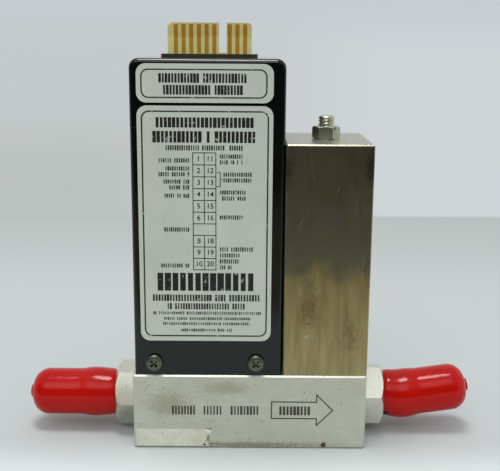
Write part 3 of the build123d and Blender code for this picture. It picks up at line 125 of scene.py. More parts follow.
def edgeGroup():
    # how far the surface turns within a small radius: edges and corners
    tree, given, result = newGroup("edges", [
        ("Radius", "Float", 0.0005), ("Strength", "Float", 3.0), ("Ragged", "Float", 0.5)], ["Mask"])
    rounded = put(tree, "ShaderNodeBevel", {"Radius": given["Radius"]}, samples=4).outputs[0]
    flat = put(tree, "ShaderNodeNewGeometry").outputs["True Normal"]
    facing = vectorCalc(tree, "DOT_PRODUCT", rounded, flat)["Value"]
    turned = calc(tree, "SUBTRACT", 1.0, facing)
    broken = calc(tree, "SUBTRACT", noiseAt(tree, objectPlace(tree), 700.0, 4.0)[0], 0.5)
    uneven = calc(tree, "MULTIPLY_ADD", broken, given["Ragged"], turned)
    held = calc(tree, "MULTIPLY", uneven, calc(tree, "GREATER_THAN", turned, 0.01))
    tree.links.new(calc(tree, "MULTIPLY", held, given["Strength"], clamp=True), result["Mask"])
    return tree


def speckGroup():
    # scattered dots, a share of the cells of a Voronoi pattern
    tree, given, result = newGroup("specks", [
        ("Scale", "Float", 900.0), ("Size", "Float", 0.2), ("Share", "Float", 0.3)], ["Mask"])
    place = objectPlace(tree)
    wobble = noiseAt(tree, place, 2500.0, 2.0)[1]
    off = vectorCalc(tree, "MULTIPLY", wobble, (0.0004, 0.0004, 0.0004))[0]
    moved = vectorCalc(tree, "ADD", place, off)[0]
    cells = put(tree, "ShaderNodeTexVoronoi", {"Vector": moved, "Scale": given["Scale"]})
    own = put(tree, "ShaderNodeSeparateColor", {"Color": cells.outputs["Color"]})
    kept = calc(tree, "LESS_THAN", own.outputs[0], given["Share"])
    size = calc(tree, "MULTIPLY", given["Size"], calc(tree, "MULTIPLY_ADD", own.outputs[1], 0.8, 0.4))
    within = calc(tree, "SUBTRACT", size, cells.outputs["Distance"])
    dot = calc(tree, "MULTIPLY", within, 9.0, clamp=True)
    tree.links.new(calc(tree, "MULTIPLY", dot, kept), result["Mask"])
    return tree


def patchGroup():
    # one mark at a given place, round or drawn out, with a ragged border
    tree, given, result = newGroup("patch", [
        ("Centre", "Vector", (0.0, 0.0, 0.0)), ("Stretch", "Vector", (1.0, 1.0, 1.0)),
        ("Radius", "Float", 0.002), ("Ragged", "Float", 0.5), ("Soft", "Float", 0.3)], ["Mask"])
    place = objectPlace(tree)
    away = vectorCalc(tree, "SUBTRACT", place, given["Centre"])[0]
    drawn = vectorCalc(tree, "DIVIDE", away, given["Stretch"])[0]
    share = calc(tree, "DIVIDE", vectorCalc(tree, "LENGTH", drawn)["Value"], given["Radius"])
    noise = noiseAt(tree, place, 900.0, 5.0, 0.65)[0]
    torn = calc(tree, "MULTIPLY_ADD", calc(tree, "SUBTRACT", noise, 0.5), given["Ragged"], share)
    inner = calc(tree, "SUBTRACT", 1.0, given["Soft"])
    tree.links.new(remap(tree, torn, 1.0, inner, smooth=True), result["Mask"])
    return tree


def scratchGroup():
    # thin wandering lines, where a slow noise passes through its middle value
    tree, given, result = newGroup("scratches", [
        ("Scale", "Vector", (90.0,) * 3), ("Width", "Float", 0.004), ("Share", "Float", 0.5)], ["Mask"])
    place = objectPlace(tree)
    drawn = vectorCalc(tree, "MULTIPLY", place, given["Scale"])[0]
    slow = noiseAt(tree, drawn, 1.0, 1.0)[0]
    near = calc(tree, "ABSOLUTE", calc(tree, "SUBTRACT", slow, 0.5))
    line = remap(tree, near, given["Width"], 0.0)
    gate = noiseAt(tree, place, 260.0, 2.0)[0]
    kept = remap(tree, gate, calc(tree, "SUBTRACT", 1.0, given["Share"]), 0.95, smooth=True)
    full = calc(tree, "MULTIPLY", kept, 3.0)
    tree.links.new(calc(tree, "MULTIPLY", line, full, clamp=True), result["Mask"])
    return tree


def dustGroup():
    # fine pale dust: most on what faces up, with a few larger grains
    tree, given, result = newGroup("dust", [("Amount", "Float", 0.2), ("Grains", "Float", 0.1)], ["Mask"])
    up = axes(tree, put(tree, "ShaderNodeNewGeometry").outputs["Normal"])[2]
    lying = remap(tree, up, -0.2, 0.9, 0.25, 1.0)
    haze = noiseAt(tree, objectPlace(tree), 240.0, 8.0, 0.75)[0]
    film = calc(tree, "MULTIPLY", remap(tree, haze, 0.35, 0.8), given["Amount"])
    grains = put(tree, "ShaderNodeGroup", {"Scale": 1300.0, "Size": 0.16, "Share": given["Grains"]},
                 node_tree=groups["specks"]).outputs["Mask"]
    both = calc(tree, "ADD", film, calc(tree, "MULTIPLY", grains, 0.6), clamp=True)
    tree.links.new(calc(tree, "MULTIPLY", both, lying), result["Mask"])
    return tree


groups = {"grain": grainGroup(), "edges": edgeGroup(), "specks": speckGroup(), "patch": patchGroup(),
          "scratches": scratchGroup()}
groups["dust"] = dustGroup()      # it holds the specks


def effect(tree, name, inputs=None):
    return put(tree, "ShaderNodeGroup", inputs, node_tree=groups[name]).outputs[0]


def spot(at, radius, colour, strength=1.0, stretch=(1, 1, 1), ragged=0.8, soft=0.4, rough=0.6):
    # one placed mark: where and how large, its colour and cover, its outline and its gloss
    return {"Centre": at, "Radius": radius, "Stretch": stretch, "Ragged": ragged, "Soft": soft,
            "colour": colour, "strength": strength, "rough": rough}


def makeFinish(name, look, layer=None):
    # two tones mixed by a slow noise, grain in gloss and relief, worn edges, placed marks, specks and dust
    material = bpy.data.materials.new(name)
    material.use_nodes = True
    tree = material.node_tree
    shader = tree.nodes["Principled BSDF"]
    shader.inputs["Metallic"].default_value = look.get("metal", 0.0)
    shader.inputs["Specular IOR Level"].default_value = look.get("specular", 0.5)
    mottle = {"Scale": look.get("toneScale", (150.0,) * 3), "Contrast": look.get("toneContrast", 1.8)}
    colour = mixColour(tree, effect(tree, "grain", mottle), look["colour"], look["tone"])
    brushing = {"Scale": look.get("grain", (2500.0,) * 3), "Contrast": 1.6, "Detail": 3.0}
    grain = effect(tree, "grain", brushing)
    depth = look.get("lines", 0.0)
    if depth:
        colour = mixColour(tree, remap(tree, grain, 0.0, 1.0, 0.0, depth), colour, look["lineColour"])
    vary = look.get("roughVary", 0.06)
    rough = remap(tree, grain, 0.0, 1.0, look["rough"] - vary, look["rough"] + vary)
    if layer:
        colour, rough = layer(tree, colour, rough)
    if "scratch" in look:
        worn = effect(tree, "scratches", look["scratch"])
        worn = calc(tree, "MULTIPLY", worn, look.get("scratchDepth", 0.6))
        colour = mixColour(tree, worn, colour, look["scratchColour"])
    if "edge" in look:
        wear = {"Radius": look["edgeRadius"], "Strength": look["edge"], "Ragged": 0.4}
        colour = mixColour(tree, effect(tree, "edges", wear), colour, look["edgeColour"])
    for mark in look.get("marks", []):
        shape = {key: mark[key] for key in ("Centre", "Radius", "Stretch", "Ragged", "Soft")}
        mask = calc(tree, "MULTIPLY", effect(tree, "patch", shape), mark["strength"])
        colour = mixColour(tree, mask, colour, mark["colour"])
        rough = remap(tree, mask, 0.0, 1.0, rough, mark["rough"])
    if "specks" in look:
        dots = calc(tree, "MULTIPLY", effect(tree, "specks", look["specks"]), look.get("speckDepth", 0.7))
        colour = mixColour(tree, dots, colour, look["speckColour"])
    if "dust" in look:
        dust = effect(tree, "dust", {"Amount": look["dust"], "Grains": look.get("dustGrains", 0.1)})
        colour = mixColour(tree, dust, colour, look.get("dustColour", paint(170, 168, 156)))
        rough = remap(tree, dust, 0.0, 1.0, rough, 0.8)
    tree.links.new(colour, shader.inputs["Base Color"])
    tree.links.new(rough, shader.inputs["Roughness"])
    relief = {"Strength": look.get("bump", 0.15), "Distance": look.get("bumpDepth", 0.00004),
              "Height": grain}
    tree.links.new(put(tree, "ShaderNodeBump", relief).outputs[0], shader.inputs["Normal"])
    return material


finishes = {}
# the front's tones are painted darker than the plain sides, and its warm lower tones are a painted floor
# reflection
housing = {"shadedFront": paint(146, 145, 128), "shadedFrontDull": paint(112, 110, 90), "floorReflectTint": paint(190, 174, 128),
           "floorReflectDull": paint(158, 142, 98), "floorReflectTop": 0.0625, "floorReflectBottom": 0.0545, "floorReflectWander": 0.016,
           "front": -0.0180, "plain": paint(206, 206, 192), "plainDull": paint(190, 188, 170)}


def housingLayer(tree, colour, rough):
    # the front is painted darker than the other sides, a painted shade, and warmer below a ragged line, a
    # painted reflection of the floor before it; the other sides are plain
    parts = axes(tree, objectPlace(tree))
    smear = effect(tree, "grain", {"Scale": (130.0, 130.0, 60.0), "Contrast": 1.6, "Detail": 6.0})
    height = calc(tree, "MULTIPLY_ADD", calc(tree, "SUBTRACT", smear, 0.5), housing["floorReflectWander"],
                  parts[2])
    # painted floor reflection: the front turns warmer below a ragged line
    low = remap(tree, height, housing["floorReflectTop"], housing["floorReflectBottom"], smooth=True)
    streak = effect(tree, "grain", {"Scale": (420.0, 420.0, 50.0), "Contrast": 2.4, "Detail": 5.0})
    warm = mixColour(tree, streak, housing["floorReflectTint"], housing["floorReflectDull"])
    # painted shade: only the front takes the darker tones, the other sides keep the plain ones
    front = remap(tree, parts[1], housing["front"], housing["front"] - 0.0004)
    plain = mixColour(tree, streak, housing["plain"], housing["plainDull"])
    return mixColour(tree, front, plain, mixColour(tree, low, colour, warm)), rough


finishes["housing_steel"] = makeFinish("brushedHousing", {
    "colour": housing["shadedFront"], "tone": housing["shadedFrontDull"], "metal": 1.0, "rough": 0.34, "roughVary": 0.07,
    "toneScale": (90.0, 90.0, 40.0), "grain": (3200.0, 3200.0, 70.0), "lines": 0.35,
    "lineColour": paint(120, 112, 92), "edge": 0.3, "edgeRadius": 0.0005,
    "edgeColour": paint(176, 178, 162), "bump": 0.25, "bumpDepth": 0.00003,
    "scratch": {"Scale": (60.0, 60.0, 25.0), "Width": 0.006, "Share": 0.5},
    "scratchColour": paint(214, 208, 190), "specks": {"Scale": 420.0, "Size": 0.16, "Share": 0.1},
    "speckColour": paint(70, 62, 45),
    "marks": [
        spot((0.0112, -0.0185, 0.0925), 0.0045, paint(66, 64, 50), 0.6, stretch=(0.7, 0.2, 1.8), ragged=1.8,
             soft=0.9, rough=0.4),
        spot((0.0378, -0.0185, 0.0935), 0.0045, paint(60, 58, 46), 0.7, stretch=(0.8, 0.2, 1.6), ragged=1.8,
             soft=0.9, rough=0.4),
        spot((0.0398, -0.0185, 0.0700), 0.0030, paint(72, 66, 48), 0.6, stretch=(0.6, 0.2, 9.0), ragged=1.6,
             soft=0.9, rough=0.4),
        spot((0.0250, -0.0185, 0.0780), 0.0065, paint(132, 126, 146), 0.35, stretch=(1.0, 0.2, 1.4),
             ragged=1.4, soft=0.9, rough=0.34),
        spot((0.0190, -0.0185, 0.0480), 0.0050, paint(112, 96, 62), 0.55, stretch=(0.9, 0.2, 1.8),
             ragged=1.8, soft=0.9, rough=0.4),
        spot((0.0320, -0.0185, 0.0400), 0.0045, paint(118, 102, 66), 0.5, stretch=(0.8, 0.2, 2.2),
             ragged=1.8, soft=0.9, rough=0.4)]}, housingLayer)

finishes["base_steel"] = makeFinish("brushedBase", {
    "colour": paint(232, 232, 220), "tone": paint(216, 215, 198), "metal": 1.0, "rough": 0.34,
    "roughVary": 0.08, "toneScale": (110.0, 110.0, 160.0), "grain": (180.0, 3000.0, 3000.0), "lines": 0.3,
    "lineColour": paint(176, 172, 150), "edge": 1.2, "edgeRadius": 0.0004,
    "edgeColour": paint(236, 236, 226), "bump": 0.25, "bumpDepth": 0.00003,
    "scratch": {"Scale": (70.0, 70.0, 120.0), "Width": 0.007, "Share": 0.5},
    "scratchColour": paint(120, 116, 100), "specks": {"Scale": 500.0, "Size": 0.2, "Share": 0.12},
    "speckColour": paint(96, 78, 50), "speckDepth": 0.6,
    "marks": [
        spot((-0.0265, -0.019, 0.0155), 0.006, paint(158, 148, 112), 0.45, stretch=(1.7, 1.0, 1.0),
             ragged=1.6, soft=0.8, rough=0.5),
        spot((-0.008, -0.019, 0.021), 0.004, paint(160, 152, 118), 0.4, stretch=(2.4, 1.0, 0.8), ragged=1.6,
             soft=0.8, rough=0.5),
        spot((0.0, -0.019, 0.0012), 0.0014, paint(118, 100, 66), 0.5, stretch=(26.0, 1.0, 1.0), ragged=1.8,
             soft=0.8, rough=0.6),
        spot((0.0245, -0.019, 0.0013), 0.0011, paint(112, 62, 34), 0.9, ragged=0.9, soft=0.4, rough=0.7)]})

finishes["fitting_steel"] = makeFinish("turnedFitting", {
    "colour": paint(244, 244, 234), "tone": paint(228, 228, 214), "metal": 1.0, "rough": 0.26,
    "roughVary": 0.06, "grain": (3000.0, 500.0, 500.0), "lines": 0.2, "lineColour": paint(176, 172, 154),
    "edge": 1.8, "edgeRadius": 0.0005, "edgeColour": paint(244, 243, 236), "bump": 0.15,
    "bumpDepth": 0.00002, "specks": {"Scale": 500.0, "Size": 0.18, "Share": 0.12},
    "speckColour": paint(98, 84, 58),
    "marks": [
        # painted shade: the left fitting's front facets are darkened here, standing in for how the light
        # falls on them
        spot((-0.0425, -0.0080, 0.0110), 0.0085, paint(196, 196, 176), 0.85, ragged=0.9, soft=0.6,
             rough=0.3)]})

finishes["nut_steel"] = makeFinish("plainNut", {
    "colour": paint(222, 224, 204), "tone": paint(190, 192, 170), "metal": 1.0, "rough": 0.32,
    "grain": (900.0, 900.0, 2500.0), "lines": 0.3, "lineColour": paint(112, 108, 90), "edge": 1.6,
    "edgeRadius": 0.0004, "edgeColour": paint(226, 226, 214),
    "specks": {"Scale": 900.0, "Size": 0.25, "Share": 0.15}, "speckColour": paint(80, 60, 36),
    "marks": [
        spot((0.0272, -0.0035, 0.1042), 0.0008, paint(120, 72, 36), 0.95, ragged=0.8, rough=0.75)]})

finishes["pole_steel"] = makeFinish("threadedSteel", {
    "colour": paint(226, 228, 208), "tone": paint(196, 198, 176), "metal": 1.0, "rough": 0.34,
    "grain": (1200.0,) * 3, "edge": 1.2, "edgeRadius": 0.0003, "edgeColour": paint(220, 218, 206)})

finishes["cap_vinyl"] = makeFinish("redVinyl", {
    "colour": paint(188, 12, 1), "tone": paint(166, 3, 0), "rough": 0.15, "roughVary": 0.03,
    "toneScale": (70.0,) * 3, "grain": (330.0,) * 3, "bump": 0.3, "bumpDepth": 0.00012, "specular": 0.26,
    "specks": {"Scale": 1100.0, "Size": 0.13, "Share": 0.05}, "speckColour": paint(206, 120, 96),
    "speckDepth": 0.4,
    "marks": [
        # painted shade: a dark spot at the bottom of the outlet cap's mouth stands in for the shaded notch
        # there
        spot((0.0468, -0.0062, 0.0062), 0.0016, paint(52, 8, 6), 0.95, stretch=(0.8, 2.0, 1.5), ragged=1.0,
             rough=0.6),
        spot((0.0713, -0.0085, 0.0098), 0.0005, paint(60, 10, 6), 0.9, ragged=0.3)]})

finishes["cover_paint"] = makeFinish("blackEnamel", {
    "colour": paint(4, 7, 7), "tone": paint(6, 10, 10), "rough": 0.07, "roughVary": 0.02, "specular": 0.5,
    "grain": (420.0,) * 3, "bump": 0.1, "bumpDepth": 0.00004,
    "scratch": {"Scale": (80.0,) * 3, "Width": 0.004, "Share": 0.4}, "scratchColour": paint(64, 66, 64),
    "scratchDepth": 0.35, "edge": 0.25, "edgeRadius": 0.0004, "edgeColour": paint(44, 54, 58),
    "dust": 0.004, "dustGrains": 0.04, "dustColour": paint(130, 136, 132)})

finishes["cover_screw"] = makeFinish("darkPlatedScrew", {
    "colour": paint(122, 128, 110), "tone": paint(92, 96, 80), "metal": 1.0, "rough": 0.36, "edge": 1.6,
    "edgeRadius": 0.0003, "edgeColour": paint(170, 174, 156),
    "specks": {"Scale": 1500.0, "Size": 0.3, "Share": 0.2}, "speckColour": paint(52, 46, 34), "dust": 0.15})

foil = {"plain": paint(198, 204, 190), "cloudy": paint(184, 192, 180), "scuff": paint(120, 114, 96)}
finishes["label_foil"] = makeFinish("silverFoil", {
    "colour": foil["plain"], "tone": foil["cloudy"], "metal": 0.1, "rough": 0.4, "roughVary": 0.05,
    "toneScale": (60.0, 60.0, 40.0), "grain": (2600.0,) * 3, "bump": 0.08, "bumpDepth": 0.00002,
    "lines": 0.15, "lineColour": paint(160, 162, 150),
    "scratch": {"Scale": (75.0, 75.0, 95.0), "Width": 0.0035, "Share": 0.45},
    "scratchColour": foil["scuff"], "scratchDepth": 0.55,
    "specks": {"Scale": 620.0, "Size": 0.14, "Share": 0.1}, "speckColour": paint(92, 86, 70), "edge": 0.9,
    "edgeRadius": 0.0003, "edgeColour": paint(206, 208, 200)})

finishes["sticker_paper"] = makeFinish("fadedPaper", {
    "colour": paint(218, 220, 206), "tone": paint(200, 198, 178), "rough": 0.75, "roughVary": 0.05,
    "toneScale": (190.0, 190.0, 320.0), "toneContrast": 2.6, "grain": (3800.0,) * 3, "bump": 0.25,
    "bumpDepth": 0.00003, "specks": {"Scale": 700.0, "Size": 0.22, "Share": 0.16},
    "speckColour": paint(120, 100, 68),
    "marks": [
        spot((-0.0133, -0.0192, 0.0064), 0.0011, paint(232, 230, 222), 0.95, stretch=(1.4, 1.0, 0.55),
             ragged=0.7),
        spot((-0.0136, -0.0192, 0.0036), 0.0011, paint(112, 84, 52), 0.8, stretch=(0.5, 1.0, 1.5),
             ragged=0.9),
        spot((-0.0148, -0.0192, 0.0013), 0.0005, paint(52, 44, 34), ragged=0.6)]})

finishes["gasket_rubber"] = makeFinish("blackGasket", {
    "colour": paint(46, 49, 36), "tone": paint(58, 60, 44), "rough": 0.45, "grain": (1800.0,) * 3,
    "bump": 0.3, "bumpDepth": 0.00005, "dust": 0.2})

card = {"wornFrom": 0.1322, "wornTo": 0.1338, "wornGold": paint(196, 146, 56),
        "wornBoard": paint(206, 186, 110), "smudge": paint(70, 58, 34), "wander": 0.0018, "deepest": 0.8}


def wornTip(tree, colour, worn):
    # the end of the card that goes into its connector is rubbed brown
    ragged = effect(tree, "grain", {"Scale": (700.0, 700.0, 260.0), "Contrast": 2.0})
    height = axes(tree, objectPlace(tree))[2]
    jagged = calc(tree, "MULTIPLY_ADD", calc(tree, "SUBTRACT", ragged, 0.5), card["wander"], height)
    share = remap(tree, jagged, card["wornFrom"], card["wornTo"], 0.0, card["deepest"], smooth=True)
    return mixColour(tree, share, colour, worn)


def contactLayer(tree, colour, rough):
    return wornTip(tree, colour, card["wornGold"]), rough


def boardLayer(tree, colour, rough):
    return wornTip(tree, colour, card["wornBoard"]), rough


finishes["gold_contact"] = makeFinish("goldContact", {
    "colour": paint(246, 196, 78), "tone": paint(232, 168, 52), "metal": 0.45, "rough": 0.32,
    "toneScale": (500.0, 500.0, 180.0), "grain": (3500.0, 3500.0, 260.0), "lines": 0.35,
    "lineColour": paint(196, 142, 50), "edge": 0.6, "edgeRadius": 0.00015,
    "edgeColour": paint(238, 206, 140)}, contactLayer)

finishes["board_laminate"] = makeFinish("glassLaminate", {
    "colour": paint(232, 228, 160), "tone": paint(220, 208, 136), "rough": 0.42, "toneScale": (260.0,) * 3,
    "grain": (2400.0,) * 3, "bump": 0.15, "bumpDepth": 0.00003,
    "specks": {"Scale": 900.0, "Size": 0.2, "Share": 0.12}, "speckColour": paint(120, 96, 56),
    "marks": [
        spot((-0.0215, -0.0108, 0.1315), 0.0022, card["smudge"], 0.8, stretch=(0.45, 1.0, 1.9), ragged=1.2),
        spot((-0.0266, -0.0108, 0.1327), 0.0004, paint(60, 40, 22), ragged=0.3)]}, boardLayer)


def plainLook(colour, tone, rough, **more):
    return {"colour": colour, "tone": tone, "rough": rough, **more}


innerLooks = {
    "inner_steel": plainLook(paint(206, 204, 200), paint(190, 188, 182), 0.3, metal=1.0,
                             grain=(400.0, 400.0, 2600.0), lines=0.2, lineColour=paint(150, 148, 140)),
    "seal_rubber": plainLook(paint(30, 30, 31), paint(40, 40, 40), 0.45, dust=0.05),
    "seal_nickel": plainLook(paint(214, 208, 196), paint(198, 192, 178), 0.2, metal=1.0),
    "inner_aluminium": plainLook(paint(214, 214, 214), paint(200, 200, 202), 0.38, metal=1.0,
                                 grain=(300.0, 2600.0, 2600.0)),
    "inner_screw": plainLook(paint(150, 150, 150), paint(128, 128, 128), 0.34, metal=1.0),
    "copper_wire": plainLook(paint(196, 104, 52), paint(164, 78, 34), 0.3, metal=1.0,
                             grain=(500.0, 500.0, 4200.0), lines=0.6, lineColour=paint(92, 38, 16),
                             bump=0.5),
    "chip_plastic": plainLook(paint(34, 34, 36), paint(42, 42, 44), 0.55, dust=0.08),
    "capacitor_sleeve": plainLook(paint(34, 52, 112), paint(28, 42, 96), 0.3),
    "resistor_body": plainLook(paint(206, 178, 136), paint(190, 160, 118), 0.4),
    "trimmer_body": plainLook(paint(38, 84, 168), paint(32, 74, 150), 0.34),
    "rotor_brass": plainLook(paint(214, 180, 104), paint(192, 156, 84), 0.3, metal=1.0),
    "header_plastic": plainLook(paint(228, 226, 216), paint(216, 213, 200), 0.5),
    "lead_insulation": plainLook(paint(224, 220, 208), paint(212, 208, 194), 0.4),
    "bobbin_plastic": plainLook(paint(212, 206, 182), paint(200, 192, 166), 0.5),
}
for slotName, look in innerLooks.items():
    finishes[slotName] = makeFinish(slotName.replace("_", " ").title().replace(" ", ""), look)

finishOf = {
    "base_steel": ["base_block"],
    "fitting_steel": ["inlet_fitting", "outlet_fitting"],
    "cap_vinyl": ["inlet_cap", "outlet_cap"],
    "cover_paint": ["cover"],
    "cover_screw": ["cover_screws"],
    "label_foil": ["nameplate_upper", "nameplate_lower"],
    "sticker_paper": ["serial_sticker"],
    "gasket_rubber": ["card_gasket"],
    "board_laminate": ["circuit_board"],
    "gold_contact": ["edge_contacts"],
    "housing_steel": ["valve_housing"],
    "nut_steel": ["valve_nut"],
    "pole_steel": ["pole_piece"],
    "seal_rubber": ["plunger_pad", "coil_pad", "lead_grommet"],
    "seal_nickel": ["inlet_seal", "outlet_seal", "sensor_port_seals", "seat_seal", "stem_seal"],
    "inner_steel": ["flow_splitter", "sensor_tube", "valve_stem", "valve_plunger", "plunger_spring",
                    "valve_seat", "flux_plate", "sensor_can"],
    "inner_aluminium": ["sensor_block", "cover_bars", "board_brackets"],
    "inner_screw": ["sensor_screws", "bar_screws", "bracket_screws", "board_screws"],
    "copper_wire": ["sensor_windings", "coil_winding"],
    "chip_plastic": ["integrated_circuits", "driver_transistor"],
    "capacitor_sleeve": ["capacitors"],
    "resistor_body": ["resistors"],
    "trimmer_body": ["trimmer_bodies"],
    "rotor_brass": ["zero_rotor", "span_rotor"],
    "header_plastic": ["valve_header"],
    "lead_insulation": ["valve_leads"],
    "bobbin_plastic": ["coil_bobbin"],
}
for slotName, names in finishOf.items():
    for name in names:
        solid = nodes[name]
        if not solid.material_slots:
            solid.data.materials.append(None)
        for holder in solid.material_slots:
            holder.material = finishes[slotName]
unfinished = sorted(set(nodes) - {name for names in finishOf.values() for name in names})
print("finishes made:", len(finishes), "left without one:", unfinished)


def setOut(name, data):
    thing = bpy.data.objects.new(name, data)
    bpy.context.scene.collection.objects.link(thing)
    return thing


def plainMesh(thing):
    # the shape of a curve or of an object with its modifiers, and the object itself is taken away
    graph = bpy.context.evaluated_depsgraph_get()
    mesh = bpy.data.meshes.new_from_object(thing.evaluated_get(graph), depsgraph=graph)
    thing.modifiers.clear()
    bpy.data.objects.remove(thing)
    return mesh


def closeShape(shape, name, outward=True):
    if outward:
        bmesh.ops.recalc_face_normals(shape, faces=shape.faces)
    mesh = bpy.data.meshes.new(name)
    shape.to_mesh(mesh)
    shape.free()
    return mesh


def addPiece(name, mesh, finish, body="controller", stands=()):
    piece = setOut(name, mesh)
    if finish:
        mesh.materials.clear()
        mesh.materials.append(finish)
    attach(piece, body)
    if stands:
        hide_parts(*stands)
    return piece


stud = {"axisX": 0.02442, "bottom": 43.07, "nose": 3.95, "shoulder": 50.0, "body": 4.75, "bodyTop": 98.3,
        "threadRadius": 2.6, "threadDepth": 0.42, "pitch": 1.06, "threadFrom": 99.0, "threadTo": 107.3,
        "crownRadius": 1.56, "top": 108.3, "sides": 56, "rowStep": 0.106, "easeIn": 0.5, "easeOut": 0.35,
        "grooveHalf": 0.42, "crownSteps": 6, "smoothBelow": 32}


def makeStud():
    # the pole piece with a real thread cut on its stud: each ring of points follows the helix
    rows = [(stud["bottom"], stud["nose"], 0), (stud["shoulder"], stud["nose"], 0),
            (stud["shoulder"], stud["body"], 0), (stud["bodyTop"], stud["body"], 0),
            (stud["bodyTop"], stud["threadRadius"], 0)]
    z = stud["threadFrom"]
    while z < stud["threadTo"]:
        ease = min(1.0, (z - stud["threadFrom"]) / stud["easeIn"], (stud["threadTo"] - z) / stud["easeOut"])
        rows.append((z, stud["threadRadius"], max(0.0, ease)))
        z += stud["rowStep"]
    for step in range(stud["crownSteps"] + 1):
        turn = step / stud["crownSteps"] * math.pi / 2
        drop = stud["threadRadius"] - stud["crownRadius"]
        rows.append((stud["threadTo"] + (stud["top"] - stud["threadTo"]) * math.sin(turn),
                     stud["threadRadius"] - drop * (1 - math.cos(turn)), 0))
    shape = bmesh.new()
    rings = []
    for z, radius, cut in rows:
        ring = []
        for side in range(stud["sides"]):
            angle = side / stud["sides"] * 2 * math.pi
            phase = (z / stud["pitch"] - side / stud["sides"]) % 1.0
            groove = max(0.0, 1 - abs(phase - 0.5) / stud["grooveHalf"])
            reach = radius - cut * stud["threadDepth"] * groove
            x, y = reach * mm * math.cos(angle), reach * mm * math.sin(angle)
            ring.append(shape.verts.new((stud["axisX"] + x, y, z * mm)))
        rings.append(ring)
    for low, high in zip(rings, rings[1:]):
        for side in range(stud["sides"]):
            after = (side + 1) % stud["sides"]
            shape.faces.new((low[side], low[after], high[after], high[side]))
    shape.faces.new(list(reversed(rings[0])))
    shape.faces.new(rings[-1])
    mesh = closeShape(shape, "valveStud")
    mesh.shade_smooth()
    mesh.set_sharp_from_angle(angle=math.radians(stud["smoothBelow"]))
    return addPiece("valveStud", mesh, finishes["pole_steel"], stands=["pole_piece"])


makeStud()
print("threaded stud made")


def newGeometryTree(name, inputs):
    tree = bpy.data.node_groups.new(name, "GeometryNodeTree")
    for label, kind in inputs:
        tree.interface.new_socket(label, in_out="INPUT", socket_type="NodeSocket" + kind)
    tree.interface.new_socket("Geometry", in_out="OUTPUT", socket_type="NodeSocketGeometry")
    return tree, tree.nodes.new("NodeGroupInput").outputs, tree.nodes.new("NodeGroupOutput").inputs


def closeTree(tree, geometry, material, target):
    whole = put(tree, "GeometryNodeRealizeInstances", {"Geometry": geometry}).outputs[0]
    made = put(tree, "GeometryNodeSetMaterial", {"Geometry": whole, "Material": material}).outputs[0]
    tree.links.new(made, target)


def runTree(tree, values):
    # evaluates a tree on an empty object and keeps its result as a plain mesh
    carrier = setOut("carrier", bpy.data.meshes.new("carrier"))
    step = carrier.modifiers.new("shape", "NODES")
    step.node_group = tree
    for item in tree.interface.items_tree:
        if item.in_out == "INPUT" and item.name in values:
            step[item.identifier] = values[item.name]
    return plainMesh(carrier)


def joinMeshes(name, meshes):
    shape = bmesh.new()
    for mesh in meshes:
        shape.from_mesh(mesh)
        bpy.data.meshes.remove(mesh)
    return closeShape(shape, name)


def rowOf(tree, given, step):
    line = {"Count": given["Count"], "Start Location": given["Start"], "Offset": step}
    return put(tree, "GeometryNodeMeshLine", line, mode="OFFSET").outputs[0]


def chanceOf(tree, least, most, seed):
    return put(tree, "FunctionNodeRandomValue", {2: least, 3: most, "Seed": seed},
               data_type="FLOAT").outputs[1]


def strokeTree():
    # a printed line as a row of upright strokes of uneven width, some left out as spaces
    tree, given, result = newGeometryTree("strokeRow", [
        ("Start", "Vector"), ("Pitch", "Float"), ("Count", "Int"), ("Height", "Float"),
        ("Thickness", "Float"), ("Thin", "Float"), ("Wide", "Float"), ("Lowest", "Float"),
        ("Spaces", "Float"), ("Seed", "Int"), ("Ink", "Material")])
    step = put(tree, "ShaderNodeCombineXYZ", {0: given["Pitch"]}).outputs[0]
    row = rowOf(tree, given, step)
    left = calc(tree, "LESS_THAN", chanceOf(tree, 0.0, 1.0, given["Seed"]), given["Spaces"])
    spared = {"Geometry": row, "Selection": left}
    kept = put(tree, "GeometryNodeDeleteGeometry", spared, domain="POINT").outputs[0]
    width = chanceOf(tree, given["Thin"], given["Wide"], calc(tree, "ADD", given["Seed"], 7.0))
    tall = chanceOf(tree, given["Lowest"], 1.0, calc(tree, "ADD", given["Seed"], 19.0))
    wide = calc(tree, "MULTIPLY", width, given["Pitch"])
    high = calc(tree, "MULTIPLY", tall, given["Height"])
    size = put(tree, "ShaderNodeCombineXYZ", {0: wide, 1: given["Thickness"], 2: high}).outputs[0]
    block = put(tree, "GeometryNodeMeshCube", {"Size": (1.0, 1.0, 1.0)}).outputs[0]
    made = {"Points": kept, "Instance": block, "Scale": size}
    closeTree(tree, put(tree, "GeometryNodeInstanceOnPoints", made).outputs[0], given["Ink"], result[0])
    return tree


def rungTree():
    # equal bars at equal steps: the lines of the table
    tree, given, result = newGeometryTree("rungs", [
        ("Start", "Vector"), ("Step", "Vector"), ("Count", "Int"), ("Size", "Vector"), ("Ink", "Material")])
    row = rowOf(tree, given, given["Step"])
    block = put(tree, "GeometryNodeMeshCube", {"Size": given["Size"]}).outputs[0]
    bars = put(tree, "GeometryNodeInstanceOnPoints", {"Points": row, "Instance": block}).outputs[0]
    closeTree(tree, bars, given["Ink"], result[0])
    return tree


